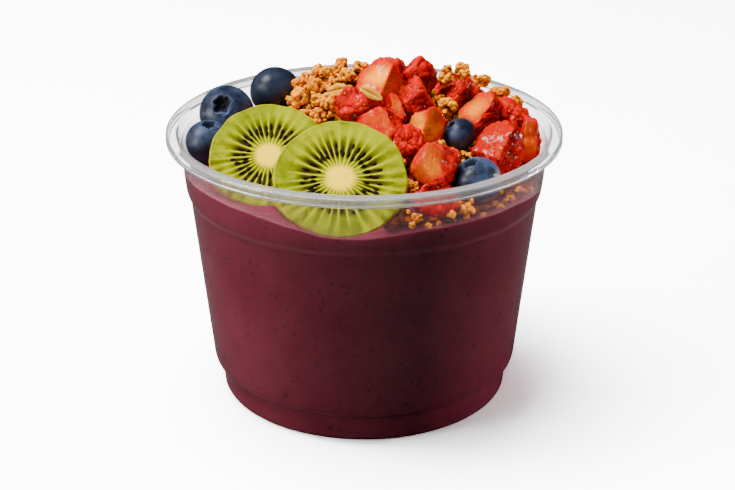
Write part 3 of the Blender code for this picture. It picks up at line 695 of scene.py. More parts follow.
class ACAI_OT_kiwi(bpy.types.Operator):
    """Build the two leaning kiwi slices and their seeds"""

    bl_idname = "acai.kiwi"
    bl_label = "Kiwi slices"

    rings = 44
    columns = 180

    def execute(self, context):
        look = context.scene.acai_kiwi
        seed_looks = self.seed_finish()
        for turn, name in enumerate(KIWIS):
            kiwi = Slice(name)
            finish = self.flesh_finish(look, kiwi, name)
            points, triangles = self.slice_surface(kiwi, 11 + turn)
            piece = mesh_piece(name + "_flesh", points, triangles, finish)
            merge_close(piece)
            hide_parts(name)
            points, triangles = self.seeds(kiwi, look.seeds, 41 + turn)
            mesh_piece(name + "_seeds", points, triangles, seed_looks)
        return {"FINISHED"}

    def place(self, kiwi, across, along, height):
        """Front middle + across X + along upward in the face + height off the face."""
        return (kiwi.front + across[..., None] * np.array([1.0, 0.0, 0.0])
                + along[..., None] * KIWI_UPWARD + height[..., None] * KIWI_NORMAL)

    def relief(self, kiwi, share, angle, seed):
        """Height off the face: a low ring round the core, ribs along the radius, a sunk seed ring."""
        wave = np.stack([np.cos(angle) * 3, np.sin(angle) * 3, share * 0.8], -1)
        ribs = ripple(wave, 0.35, seed, 9) * smooth_step(0.2, 0.45, share)
        broad = ripple(np.stack([share * np.cos(angle), share * np.sin(angle), 0 * share], -1), 0.9, seed + 3)
        ring = -0.25 * hump(0.5, 0.16, share) + 0.18 * hump(0.0, 0.26, share)
        return MM * (ring + 0.07 * ribs + 0.10 * broad - 0.1)

    def knife_cuts(self, angle, seed):
        """Outline of a peeled slice: (sum over flats of max(0, cos(a - a_k) / d_k)^40)^(-1/40), 1 at most."""
        draw = np.random.default_rng(seed + 20)
        flats = (np.arange(13) + draw.uniform(-0.3, 0.3, 13)) * 2 * math.pi / 13
        depth = draw.uniform(0.972, 0.992, 13)
        lean = np.maximum(np.cos(angle[:, None] - flats) / depth, 0.0)
        return np.minimum((lean ** 40).sum(axis=1) ** (-1 / 40) * 1.01, 1.0)

    def slice_surface(self, kiwi, seed):
        """Rings from the front middle over a rounded rim to the back middle."""
        angle = np.arange(self.columns) * 2.0 * math.pi / self.columns
        uneven = self.knife_cuts(angle, seed) + 0.006 * ripple(np.stack([np.cos(angle), np.sin(angle), 0 * angle], -1), 0.7, seed)
        share = np.linspace(0.0, 1.0, self.rings) ** 0.85
        ease = 0.9 * MM
        flat = kiwi.radius - ease
        rim = np.linspace(0.0, math.pi / 2, 8)[1:]
        side = np.linspace(0.0, 1.0, 10)[1:-1]
        thick = kiwi.thickness
        radii = np.concatenate([
            share * flat, flat + ease * np.sin(rim), np.full(len(side), kiwi.radius),
            flat + ease * np.cos(rim - rim[0]), (share * flat)[::-1],
        ])
        depth = np.concatenate([
            np.zeros(self.rings), -ease * (1 - np.cos(rim)), -ease - side * (thick - 2 * ease),
            -(thick - ease) - ease * np.sin(rim - rim[0]), np.full(self.rings, -thick),
        ])
        radius = radii[:, None] * (uneven[None, :] - 0.012)
        spread = np.minimum(radii / flat, 1.0)[:, None] * np.ones_like(angle)
        front = np.zeros(len(radii))
        front[: self.rings] = 1.0
        bump = self.relief(kiwi, spread, np.broadcast_to(angle, spread.shape), seed) * front[:, None]
        barrel = 0.12 * MM * ripple(
            np.stack([np.cos(angle)[None] * 4 + 0 * depth[:, None], np.sin(angle)[None] * 4 + 0 * depth[:, None],
                      depth[:, None] / (3 * MM) + 0 * angle[None]], -1), 0.8, seed + 7)
        radius = radius + barrel * (1 - front)[:, None]
        points = self.place(kiwi, radius * np.cos(angle), radius * np.sin(angle), depth[:, None] + bump)
        return points.reshape(-1, 3), grid_triangles(len(radii), self.columns)[:, ::-1]

    def sway(self, angle):
        """How far the rays stray from even spacing: two slow sines round the slice."""
        return 0.05 * np.sin(3 * angle + 1) + 0.03 * np.sin(5 * angle + 2)

    def seeds(self, kiwi, count, seed):
        """Two staggered rings of teardrops, long along the radius, set into the face."""
        draw = np.random.default_rng(seed)
        directions, triangles = ball_grid(7, 10)
        drop = directions.copy()
        narrow = 1.0 - 0.55 * smooth_step(-0.2, 1.0, -directions[:, 0])
        drop[:, 1] *= narrow
        angle = (np.tile(np.arange(count), 2) + 0.5) * 2 * math.pi / count + draw.normal(0, 0.028, 2 * count)
        for _ in range(4):
            angle = angle - (angle + self.sway(angle) - (np.tile(np.arange(count), 2) + 0.5) * 2 * math.pi / count) * 0.7
        angle = angle + draw.normal(0, 0.035, 2 * count)
        share = np.concatenate([draw.normal(0.405, 0.030, count), draw.normal(0.525, 0.040, count)])
        keep = draw.random(2 * count) < np.repeat([0.80, 0.97], count)
        angle, share = angle[keep], share[keep]
        number = len(angle)
        radius = share * kiwi.radius
        bump = self.relief(kiwi, share, angle, seed - 30)
        places = self.place(kiwi, radius * np.cos(angle), radius * np.sin(angle), bump + 0.02 * MM)
        outward = np.cos(angle)[:, None] * np.array([1.0, 0, 0]) + np.sin(angle)[:, None] * KIWI_UPWARD
        sideways = np.cross(np.broadcast_to(KIWI_NORMAL, outward.shape), outward)
        turns = np.stack([outward, sideways, np.broadcast_to(KIWI_NORMAL, outward.shape)], -1)
        sizes = np.stack([
            draw.uniform(0.85, 1.25, number), draw.uniform(0.44, 0.62, number), draw.uniform(0.28, 0.40, number)], -1) * MM
        return copies(drop, triangles, places, sizes, turns)

    def seed_finish(self):
        finish = Finish("kiwi_seed_look")
        tone = finish.noise(900.0, 2.0)
        colour = finish.mix(tone, (0.004, 0.003, 0.002), (0.016, 0.010, 0.006))
        return finish.set(Base_Color=colour, Roughness=0.35, Specular_IOR_Level=0.08, Normal=finish.relief(tone, 0.1 * MM, 0.3))

    def flesh_finish(self, look, kiwi, name):
        """Core, rays and flesh worked out from the distance and angle round the slice's axis."""
        finish = Finish(name + "_look")
        local = finish.node("ShaderNodeMapping", vector_type="TEXTURE")
        finish.feed(local.inputs["Vector"], finish.place)
        local.inputs["Location"].default_value = tuple(kiwi.front)
        local.inputs["Rotation"].default_value = (KIWI_LEAN, 0.0, 0.0)
        local.inputs["Scale"].default_value = (kiwi.radius,) * 3
        parts = finish.node("ShaderNodeSeparateXYZ")
        finish.feed(parts.inputs[0], local.outputs[0])
        x, y, z = parts.outputs
        square = finish.math("ADD", finish.math("MULTIPLY", x, x), finish.math("MULTIPLY", y, y))
        share = finish.math("SQRT", square)
        around = finish.math("ARCTAN2", y, x)
        along = finish.node("ShaderNodeCombineXYZ")
        finish.feed(along.inputs[0], finish.math("DIVIDE", x, finish.math("MAXIMUM", share, 0.02)))
        finish.feed(along.inputs[1], finish.math("DIVIDE", y, finish.math("MAXIMUM", share, 0.02)))
        finish.feed(along.inputs[2], finish.math("MULTIPLY", share, 0.35))
        ring = along.outputs[0]
        fine = finish.noise(20.0, 3.0, 0.6, place=ring)
        broad = finish.noise(7.0, 2.0, 0.5, place=ring)
        wobble = finish.math("MULTIPLY", finish.math("SUBTRACT", fine, 0.5), 0.10)
        edge = finish.math("ADD", share, wobble)
        sway = finish.math("ADD", finish.math("MULTIPLY", finish.math("SINE", finish.math("MULTIPLY_ADD", around, 3.0, 1.0)), 0.05),
                           finish.math("MULTIPLY", finish.math("SINE", finish.math("MULTIPLY_ADD", around, 5.0, 2.0)), 0.03))
        bent = finish.math("ADD", around, sway)
        jitter = finish.math("MULTIPLY", finish.math("SUBTRACT", broad, 0.5), 1.6)
        wave = finish.math("COSINE", finish.math("MULTIPLY_ADD", bent, float(look.seeds), jitter))
        ridge = finish.math("MULTIPLY_ADD", wave, 0.5, 0.5)
        thin = finish.math("POWER", finish.math("MAXIMUM", ridge, 0.0), 12.0)
        streak = finish.step(finish.math("ADD", broad, finish.math("MULTIPLY", ridge, 0.22)), 0.42, 0.78)
        flesh = finish.mix(streak, tuple(0.48 * c for c in look.flesh), tuple(1.55 * c for c in look.flesh))
        # Painted light: the flesh is made lighter towards the top and outer edge of the slice, as if lit through from
        # behind
        painted_backlight = finish.math("MULTIPLY", finish.step(y, -0.1, 1.0), finish.step(edge, 0.5, 0.9))
        flesh = finish.mix(finish.math("MULTIPLY", painted_backlight, 0.8), flesh, tuple(1.9 * c for c in look.flesh[:2]) + (look.flesh[2],))
        pulp = finish.noise(330.0, 2.0, 0.6)
        green = finish.step(finish.noise(60.0, 2.0), 0.46, 0.62)
        flesh = finish.mix(finish.math("MULTIPLY", green, 0.6), flesh, (0.72 * look.flesh[0], 0.95 * look.flesh[1], look.flesh[2]))
        flesh = finish.mix(finish.math("MULTIPLY", finish.step(pulp, 0.52, 0.72), 0.55), flesh, tuple(1.9 * c for c in look.flesh[:2]) + (look.flesh[2],))
        flesh = finish.mix(finish.math("MULTIPLY", finish.step(pulp, 0.46, 0.30), 0.5), flesh, tuple(0.45 * c for c in look.flesh))
        olive = finish.math("MULTIPLY", finish.step(edge, 0.29, 0.39), finish.step(edge, 0.74, 0.50))
        between = finish.math("MULTIPLY", olive, finish.math("MULTIPLY_ADD", ridge, -0.45, 1.0))
        colour = finish.mix(between, flesh, look.deep)
        reach = finish.math("MULTIPLY", finish.step(edge, 0.18, 0.24), finish.step(edge, 0.92, 0.46))
        colour = finish.mix(finish.math("MULTIPLY", finish.math("MULTIPLY", thin, reach), 0.9), colour, look.ray)
        glow = finish.step(finish.math("MULTIPLY_ADD", thin, -0.03, finish.math("MULTIPLY_ADD", finish.math("SUBTRACT", broad, 0.5), 0.14, share)), 0.275, 0.15)
        colour = finish.mix(glow, colour, look.core)
        line = finish.step(share, 0.955, 0.975)
        colour = finish.mix(finish.math("MULTIPLY", line, 0.6), colour, (0.34, 0.24, 0.004))
        rind = finish.mix(finish.noise(240.0, 3.0), (0.20, 0.22, 0.008), (0.34, 0.38, 0.02))
        colour = finish.mix(finish.step(share, 0.980, 0.992), colour, rind)
        height = finish.math("ADD", finish.math("MULTIPLY", fine, 0.6), finish.math("MULTIPLY", finish.noise(900.0, 2.0), 0.3))
        return finish.set(
            Base_Color=colour, Roughness=0.45, Specular_IOR_Level=0.0, Coat_Weight=0.22, Coat_Roughness=0.06,
            Coat_Normal=finish.relief(pulp, 0.6 * MM, 1.0),
            Subsurface_Weight=0.15, Subsurface_Radius=(1.0, 1.0, 0.25), Subsurface_Scale=1.2 * MM,
            Normal=finish.relief(height, 0.35 * MM, 0.4),
        )


class ACAI_OT_blueberries(bpy.types.Operator):
    """Build the five blueberries with their crowns and bloom"""

    bl_idname = "acai.blueberries"
    bl_label = "Blueberries"

    rings = 84
    columns = 90

    def execute(self, context):
        look = context.scene.acai_blueberry
        finish = self.finish(look)
        for number, (name, (crown, bloom)) in enumerate(CROWNS.items()):
            low, high = (np.array(corner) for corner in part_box(name))
            points, triangles, values = self.berry((low + high) / 2, (high[0] - low[0]) / 2, crown, bloom, 60 + number)
            piece = mesh_piece(name + "_skin", points, triangles, finish, values=values)
            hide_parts(name)
        return {"FINISHED"}

    def berry(self, centre, radius, crown, bloom, seed):
        """r (1 + rim - hollow), flattened along its axis; the hollow's edge is a torn star of five points."""
        t = np.concatenate([np.linspace(0.0, 0.60, 51)[1:], np.linspace(0.60, math.pi, self.rings - 50)[1:-1]])
        a = np.arange(self.columns) * 2.0 * math.pi / self.columns
        tt, aa = np.meshgrid(t, a, indexing="ij")
        directions = np.stack([np.sin(tt) * np.cos(aa), np.sin(tt) * np.sin(aa), np.cos(tt)], -1)
        middle = directions.reshape(-1, 3)
        directions = np.concatenate([middle, [[0.0, 0.0, 1.0]], [[0.0, 0.0, -1.0]]])
        polar = np.arccos(np.clip(directions[:, 2], -1, 1))
        around = np.arctan2(directions[:, 1], directions[:, 0])
        triangles = self.capped(len(t))
        torn = ripple(directions, 0.30, seed, 7)
        lobe = np.abs(np.cos(2.5 * around + seed)) ** 0.7
        edge = 0.41 - 0.09 * lobe + 0.11 * torn
        bowl = smooth_step(edge, edge - 0.05, polar)
        deep = smooth_step(0.40, 0.15, polar)
        knob = hump(0.0, 0.07, polar)
        rim = hump(edge + 0.05, 0.06, polar) * (0.7 + 0.5 * torn)
        soft = 0.010 * ripple(directions, 1.4, seed + 1) + 0.002 * ripple(directions, 0.25, seed + 2, 9)
        reach = radius * (0.985 + soft + 0.035 * rim - 0.05 * hump(0.0, 0.42, polar) - bowl * (0.08 + 0.17 * deep - 0.07 * knob))
        local = directions * reach[:, None]
        local[:, 2] *= 0.92
        points = local @ frame_to(crown).T + centre
        return points, triangles, {"bowl": bowl, "rim": np.clip(rim, 0, 1), "bloom": np.full(len(points), bloom)}

    def capped(self, rows):
        top, bottom = rows * self.columns, rows * self.columns + 1
        j = np.arange(self.columns)
        k = (j + 1) % self.columns
        last = (rows - 1) * self.columns
        caps = np.concatenate([
            np.stack([np.full(self.columns, top), j, k], -1),
            np.stack([np.full(self.columns, bottom), last + k, last + j], -1),
        ])
        return np.concatenate([grid_triangles(rows, self.columns)[:, ::-1], caps])

    def finish(self, look):
        finish = Finish("blueberry_look")
        cloud = finish.noise(130.0, 3.0, 0.55)
        fine = finish.noise(1100.0, 3.0, 0.6)
        bloom = finish.step(finish.math("ADD", cloud, finish.math("MULTIPLY", finish.math("SUBTRACT", fine, 0.5), 0.30)), 0.30, 0.75)
        wax = finish.mix(finish.value("bloom"), tuple(0.4 * c for c in look.bloom), tuple(1.9 * c for c in look.bloom))
        colour = finish.mix(finish.math("MULTIPLY", bloom, 0.8), look.skin, wax)
        bowl = finish.value("bowl")
        # The crown's hollow is painted near black: its inside is darker, with painted shade laid over it
        colour = finish.mix(finish.math("MULTIPLY", bowl, 0.9), colour, (0.0015, 0.0015, 0.0025))
        colour = finish.mix(finish.math("MULTIPLY", finish.value("rim"), 0.35), colour, wax)
        height = finish.math("ADD", fine, finish.math("MULTIPLY", cloud, 0.4))
        rough = finish.math("ADD", finish.math("MULTIPLY_ADD", bloom, 0.16, 0.34), finish.math("MULTIPLY", bowl, 0.5), clamp=True)
        return finish.set(
            Base_Color=colour, Roughness=rough, Specular_IOR_Level=0.4,
            Normal=finish.relief(height, 0.10 * MM, 0.45),
        )


# Directions of the knife cuts that show their pale inside, how pale they are, and the x where one ends
CUTS = {
    "strawberry_01": (((-0.45, -0.50, 0.74), 1.1), ((0.75, -0.60, 0.30), 0.25)),
    "strawberry_06": (((-0.50, -0.35, 0.79), 0.65),),
    "strawberry_08": (((-0.30, -0.85, 0.42), 0.35),),
    "strawberry_09": (((-0.45, -0.42, 0.79), 0.12),),
    "strawberry_11": (((0.20, -0.60, 0.77), 0.35),),
    "strawberry_12": (((-0.25, -0.72, 0.65), 0.22),),
    "strawberry_13": (((-0.86, -0.40, 0.30), 1.0), ((0.15, -0.96, 0.22), 0.5)),
    "strawberry_15": (((-0.32, -0.88, 0.36), 0.50, 2.2 * MM), ((-0.85, 0.0, 0.52), 0.1)),
    "strawberry_17": (((0.20, 0.60, 0.77), 0.6),),
    "strawberry_18": (((-0.30, 0.50, 0.80), 0.5),),
    "strawberry_20": (((0.10, 0.40, 0.90), 0.5),),
    "strawberry_22": (((-0.40, 0.10, 0.90), 0.5),),
}


# How far some pieces are darkened with painted shade, by their number
PAINTED_SHADES = {4: 0.15, 9: 0.40}


class ACAI_OT_strawberries(bpy.types.Operator):
    """Build the strawberry pieces with seeded skin and wet cut faces"""

    bl_idname = "acai.strawberries"
    bl_label = "Strawberry pieces"

    def execute(self, context):
        look = context.scene.acai_strawberry
        finish = self.finish(look)
        directions, triangles = ball_grid(62, 88)
        pips = []
        for number, name in enumerate(STRAWBERRIES):
            points, values, seeds = self.chunk(Solid(name), directions, CUTS.get(name, ()), 100 + number)
            piece = mesh_piece(name + "_piece", points, triangles, finish, values=values)
            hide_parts(name)
            pips.append(seeds)
        places, turns = (np.concatenate([seeds[k] for seeds in pips]) for k in (0, 1))
        shape, faces = ball_grid(5, 8)
        sizes = np.random.default_rng(9).uniform(0.85, 1.15, (len(places), 1)) * np.array([[0.46, 0.28, 0.18]]) * MM
        points, faces = copies(shape, faces, places, sizes, turns)
        mesh_piece("strawberry_seeds", points, faces, self.seed_finish())
        return {"FINISHED"}

    def chunk(self, solid, directions, cuts, seed):
        """Rounded hull of the solid, less dimples of exp(-(d / w)^2) round each seed on the skin."""
        reach = solid.reach(directions, 16.0)
        normal = self.hull_normal(solid, directions, 26.0)
        cut = np.zeros(len(directions))
        pale = np.zeros(len(directions))
        beside = (directions * reach[:, None])[:, 0]
        for way, share, *limit in cuts:
            face = smooth_step(0.80, 0.93, normal @ unit(way))
            if limit:
                face = face * smooth_step(limit[0] + 1.0 * MM, limit[0] - 1.0 * MM, beside)
            cut = np.maximum(cut, face)
            at = solid.centre + directions * reach[:, None]
            middle = (at * face[:, None]).sum(axis=0) / max(face.sum(), 1e-6)
            spread = math.sqrt(max(((at - middle) ** 2).sum(axis=1) @ face / max(face.sum(), 1e-6), 1e-12))
            near = hump(0.0, 1.45 * spread, np.linalg.norm(at - middle, axis=1))
            pale = np.maximum(pale, face * near * share)
        size = reach.mean()
        spots = self.spots(seed, int(round(4 * math.pi * (size / MM) ** 2 / 22.0)))
        at_spot = solid.reach(spots, 16.0)
        spot_normal = self.hull_normal(solid, spots, 26.0)
        on_skin = np.ones(len(spots), bool)
        for way, *rest in cuts:
            on_skin &= spot_normal @ unit(way) < 0.78
        spots, at_spot, spot_normal = spots[on_skin], at_spot[on_skin], spot_normal[on_skin]
        angle = np.arccos(np.clip(directions @ spots.T, -1, 1))
        gap = angle * reach[:, None]
        dimple = hump(0.0, 0.65 * MM, gap).sum(axis=1)
        at = directions * reach[:, None]
        large, small = np.abs(ripple(at, 5.2 * MM, seed, 5)), np.abs(ripple(at, 2.6 * MM, seed + 2, 6))
        puff = 1.5 * np.sqrt(large + 0.002) + 0.7 * np.sqrt(small + 0.002) - 0.95
        # Where the skin folds in, for painted shade in its creases
        painted_crease_shade = np.clip(hump(0.0, 0.07, large) + 0.5 * hump(0.0, 0.06, small), 0.0, 1.0) * (1.0 - 0.75 * cut)
        uneven = ripple(directions * reach[:, None], 7.0 * MM, seed + 1, 6)
        reach_now = reach - 0.1 * MM - 0.34 * MM * np.minimum(dimple, 1) + (1.0 - 0.80 * cut) * 0.68 * MM * puff + 0.42 * MM * (uneven - 0.5)
        points = solid.centre + directions * reach_now[:, None]
        places = solid.centre + spots * (at_spot - 0.40 * MM)[:, None]
        draw = np.random.default_rng(seed + 500)
        side = unit(np.cross(spot_normal, unit(draw.normal(size=(1, 3)) + 0.1 * draw.normal(size=spots.shape))))
        turns = np.stack([side, np.cross(spot_normal, side), spot_normal], -1)
        values = {"cut": cut, "pale": pale, "shade": np.full(len(points), PAINTED_SHADES.get(seed - 99, 0.0)), "dimple": np.minimum(dimple, 1), "painted_crease_shade": painted_crease_shade}
        return points, values, (places, turns)

    def hull_normal(self, solid, directions, sharpness):
        """Weighted mean of the face normals, by (n . u / d)^p."""
        lean = np.maximum(directions @ solid.normals.T / solid.distances, 0.0)
        weight = (lean / lean.max(axis=1, keepdims=True)) ** sharpness
        return unit(weight @ solid.normals)

    def spots(self, seed, count):
        """Directions spread evenly along a spiral, turned and shaken by seed."""
        draw = np.random.default_rng(seed)
        k = np.arange(count) + 0.5
        z = 1 - 2 * k / count
        a = math.pi * (1 + math.sqrt(5)) * k
        way = np.stack([np.sqrt(1 - z * z) * np.cos(a), np.sqrt(1 - z * z) * np.sin(a), z], -1)
        way = unit(way + draw.normal(0, 0.06, way.shape))
        return way @ random_turns(1, draw)[0].T

    def finish(self, look):
        finish = Finish("strawberry_look")
        broad = finish.noise(150.0, 3.0, 0.55)
        fine = finish.noise(700.0, 3.0, 0.6)
        skin = finish.mix(finish.step(broad, 0.34, 0.60), tuple(0.30 * c for c in look.skin), look.skin)
        blush = finish.step(finish.noise(210.0, 2.0), 0.55, 0.75)
        skin = finish.mix(finish.math("MULTIPLY", blush, 0.22), skin, look.cut)
        rim = finish.value("cut")
        pale = finish.value("pale")
        streak = finish.noise(1.0, 3.0, 0.6, place=finish.stretched((420.0, 160.0, 220.0)))
        heart = finish.step(finish.math("ADD", pale, finish.math("MULTIPLY", finish.math("SUBTRACT", streak, 0.5), 0.55)), 0.05, 0.95)
        deep = finish.mix(finish.step(finish.noise(260.0, 3.0, 0.6), 0.42, 0.60), tuple(0.8 * c for c in look.skin), look.cut)
        cut = finish.mix(heart, deep, look.heart)
        fibre = finish.noise(1.0, 2.0, 0.6, place=finish.stretched((1500.0, 420.0, 500.0)))
        cut = finish.mix(finish.math("MULTIPLY", finish.step(fibre, 0.56, 0.70), 0.30), cut, look.heart)
        edge = finish.step(finish.math("ADD", rim, finish.math("MULTIPLY", finish.math("SUBTRACT", broad, 0.5), 0.6)), 0.35, 0.8)
        colour = finish.mix(edge, skin, cut)
        # Painted shade in the pits round the seeds
        colour = finish.mix(finish.math("MULTIPLY", finish.value("dimple"), 0.3), colour, (0.22, 0.002, 0.002))
        # Painted shade: whole pieces darkened by the shade share of their number
        colour = finish.mix(finish.value("shade"), colour, (0.20, 0.002, 0.0006))
        # Painted shade in the creases of the skin
        colour = finish.mix(finish.math("MULTIPLY", finish.value("painted_crease_shade"), 0.75), colour, (0.10, 0.0008, 0.0008))
        height = finish.math("ADD", finish.math("MULTIPLY", finish.noise(380.0, 3.0, 0.6), 0.9), finish.math("MULTIPLY", fine, 0.4))
        wet = finish.step(finish.noise(700.0, 1.0, 0.5), 0.46, 0.66)
        wet = finish.math("MULTIPLY", wet, finish.math("MULTIPLY_ADD", rim, -0.6, 1.0))
        return finish.set(
            Base_Color=colour, Roughness=0.55, Specular_IOR_Level=0.0, Coat_Weight=0.50, Coat_Roughness=0.045,
            Subsurface_Weight=0.25, Subsurface_Radius=(1.0, 0.25, 0.02), Subsurface_Scale=1.6 * MM,
            Normal=finish.relief(height, 0.35 * MM, 0.7), Coat_Normal=finish.relief(wet, 0.8 * MM, 1.0),
        )

    def seed_finish(self):
        finish = Finish("strawberry_seed_look")
        tone = finish.noise(260.0, 2.0)
        colour = finish.mix(finish.step(tone, 0.35, 0.65), (0.16, 0.030, 0.004), (0.42, 0.14, 0.012))
        return finish.set(Base_Color=colour, Roughness=0.45, Specular_IOR_Level=0.2)


class ACAI_OT_granola(bpy.types.Operator):
    """Build the granola: a core of toasted crumb darkened with painted shade, with crumbs, clusters and oat flakes on
    it
    """

    bl_idname = "acai.granola"
    bl_label = "Granola"

    def execute(self, context):
        look = context.scene.acai_granola
        self.crumb = look.crumb
        crumbs = self.crumb_finish(look)
        core = self.shaded_core_finish(look)
        self.fruit = [Solid(name) for name in STRAWBERRIES]
        self.slices = [Slice(name) for name in KIWIS]
        self.berries = [(Solid(name).centre, (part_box(name)[1].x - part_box(name)[0].x) / 2) for name in CROWNS]
        bed = Solid("granola_bed")
        self.bed_core(bed, core)
        self.heap(bed, crumbs, self.oat_finish(look))
        for number, name in enumerate(CLUSTERS):
            self.lump(Solid(name), name, crumbs, 300 + number)
        return {"FINISHED"}

    def bed_core(self, bed, finish):
        """The bed's own surface drawn in by 0.9 mm along its point normals."""
        points, triangles = welded(bed.points, bed.triangles)
        normals = point_normals(points, triangles)
        moved = self.settled(points - normals * 1.4 * MM)
        piece = mesh_piece("granola_shaded_core", moved, triangles, finish, smooth=False)
        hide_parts("granola_bed")

    def free(self, points, margin):
        """Which points lie outside every fruit by margin."""
        clear = np.ones(len(points), bool)
        for solid in self.fruit:
            clear &= solid.clearance(points) > margin
        for kiwi in self.slices:
            clear &= ~kiwi.within(points, margin)
        for centre, radius in self.berries:
            clear &= np.linalg.norm(points - centre, axis=1) > radius + margin
        return clear

    def surface_points(self, solid, count, draw, upward):
        """Points spread over the solid's faces whose normals rise above upward."""
        use = solid.face_normals[:, 2] > upward
        weights = solid.areas * use
        pick = draw.choice(len(weights), count, p=weights / weights.sum())
        corners = solid.points[solid.triangles[pick]]
        a, b = draw.random((2, count))
        flip = a + b > 1
        a, b = np.where(flip, 1 - a, a), np.where(flip, 1 - b, b)
        points = corners[:, 0] + a[:, None] * (corners[:, 1] - corners[:, 0]) + b[:, None] * (corners[:, 2] - corners[:, 0])
        return points, solid.face_normals[pick]

    def spaced(self, points, gaps):
        """Indices of points taken in turn where no earlier one is closer than the gap asked there."""
        kept = np.empty(0, int)
        for number, point in enumerate(points):
            away = points[kept] - point
            if not len(kept) or (away ** 2).sum(axis=1).min() > gaps[number] ** 2:
                kept = np.append(kept, number)
        return kept

    def lump_shape(self, directions, knobs, size, seed):
        """A union of balls seen from the middle: the largest c . u + sqrt(b^2 - c^2 + (c . u)^2) along each direction."""
        draw = np.random.default_rng(seed)
        k = np.arange(knobs) + 0.5
        z = 1 - 2 * k / knobs
        a = math.pi * (1 + math.sqrt(5)) * k
        way = np.stack([np.sqrt(1 - z * z) * np.cos(a), np.sqrt(1 - z * z) * np.sin(a), z], -1)
        way = unit(way + draw.normal(0, 0.22, way.shape))
        balls = way * draw.uniform(0.50, 0.84, (knobs, 1))
        sizes = size * draw.uniform(0.75, 1.25, knobs)
        along = directions @ balls.T
        under = sizes ** 2 - (balls ** 2).sum(axis=1) + along ** 2
        hits = np.where((under > 0) & (along > 0), along + np.sqrt(np.maximum(under, 0.0)), 0.0)
        reach = np.maximum(hits.max(axis=1), 0.44)
        reach = reach + 0.05 * ripple(directions, 0.33, seed + 1, 9)
        return reach

    def lump_kinds(self, rows, columns, knobs, size, count, seed):
        """Several lumps as points and crease depths, on one ball grid."""
        directions, triangles = ball_grid(rows, columns)
        shapes, creases = [], []
        for number in range(count):
            reach = self.lump_shape(directions, knobs, size, seed + 10 * number)
            shapes.append(directions * reach[:, None])
            creases.append(smooth_step(0.52, 0.98, reach))
        return shapes, creases, triangles

    def scattered(self, kinds, places, sizes, tone, draw):
        """One mesh of lumps, a like share of each kind, with their tone and creases."""
        shapes, creases, triangles = kinds
        kind = np.arange(len(places)) % len(shapes)
        turns = random_turns(len(places), draw)
        parts, tones, folds = [], [], []
        for number, shape in enumerate(shapes):
            mine = kind == number
            if mine.any():
                parts.append(copies(shape, triangles, places[mine], sizes[mine], turns[mine]))
                tones.append(np.repeat(tone[mine], len(shape)))
                folds.append(np.tile(creases[number], mine.sum()))
        points, faces = joined(parts)
        return points, faces, {"tone": np.concatenate(tones), "high": np.concatenate(folds)}

    def flakes(self, centres, normals, draw):
        """Oat flakes: flat ovals bent along their length, with a crease down the middle."""
        directions, triangles = ball_grid(9, 16)
        shape = directions.copy()
        shape[:, 2] += 0.6 * shape[:, 0] ** 2 - 1.2 * np.exp(-(shape[:, 1] / 0.2) ** 2) * (shape[:, 2] > 0)
        shape[:, 1] *= 1 + 0.12 * np.sin(4 * shape[:, 0])
        tilt = unit(normals + draw.normal(0, 0.25, normals.shape))
        side = unit(np.cross(tilt, draw.normal(size=tilt.shape)))
        turns = np.stack([side, np.cross(tilt, side), tilt], -1)
        count = len(centres)
        sizes = np.stack([draw.uniform(2.1, 2.9, count), draw.uniform(1.3, 1.7, count), np.full(count, 0.34)], -1) * MM
        points, faces = copies(shape, triangles, centres, sizes, turns)
        tone = np.repeat(draw.uniform(0.0, 1.0, count), len(shape))
        return points, faces, {"tone": tone}

    def large_flakes(self):
        """The two largest flakes, each the oval of flakes() laid at its own place and turn."""
        directions, triangles = ball_grid(17, 30)
        shape = directions.copy()
        shape[:, 2] += 0.5 * shape[:, 0] ** 2 - 1.3 * hump(0.0, 0.13, shape[:, 1]) * (shape[:, 2] > 0)
        shape[:, 1] *= 1 + 0.10 * np.sin(5 * shape[:, 0] + 1)
        parts = []
        for middle, upward, along, length, width in LARGE_FLAKES:
            upward = unit(upward)
            along = unit(np.array(along) - np.dot(along, upward) * upward)
            turn = np.stack([along, np.cross(upward, along), upward], -1)
            sizes = np.array([[length, width, 0.42]]) * MM
            parts.append(copies(shape, triangles, np.array([middle]) * MM, sizes, turn[None]))
        points, faces = joined(parts)
        return points, faces, np.full(len(points), 0.7)

    def heap(self, bed, finish, oat):
        """Lumps side by side over the bed, crumbs in the gaps between them, and a few flakes on top."""
        draw = np.random.default_rng(77)
        points, normals = self.surface_points(bed, 9000, draw, 0.12)
        points = self.settled(points)
        clear = self.free(points + normals * 0.3 * MM, 0.2 * MM)
        points, normals = points[clear], normals[clear]
        front = smooth_step(-14 * MM, -28 * MM, points[:, 1])
        first = self.spaced(points, (4.7 - 1.0 * front) * MM)
        first = first[draw.random(len(first)) > 0.30 * front[first]]
        size = draw.uniform(2.0, 3.5, len(first)) * (1 - 0.42 * front[first]) * MM
        centres = points[first] - normals[first] * (size * draw.uniform(0.1, 0.8, len(size)))[:, None]
        fits = self.free(centres, 0.45 * size) & self.within_cup(centres, size * 0.95) & ~self.by_front_wall(centres)
        centres, size = centres[fits], size[fits]
        x, level, half = (FRONT_BITS * MM).T
        reach = wall_radius(level, 0.5 * MM) - half
        tops = TOP_BITS * MM
        centres = np.concatenate([centres, tops[:, :3], np.stack([x, -np.sqrt(reach ** 2 - x ** 2), level], -1)])
        size = np.concatenate([size, tops[:, 3], half])
        sizes = size[:, None] * draw.uniform(0.80, 1.12, (len(size), 3))
        tone = np.clip(draw.normal(0.5, 0.25, len(size)), 0, 1)
        kinds = self.lump_kinds(18, 27, 26, 0.31, 9, 900)
        mesh, faces, values = self.scattered(kinds, centres, sizes, tone, draw)
        mesh_piece("granola_lumps", mesh, faces, finish, values=values)
        second = self.spaced(points[:5000], np.full(5000, 2.1 * MM))
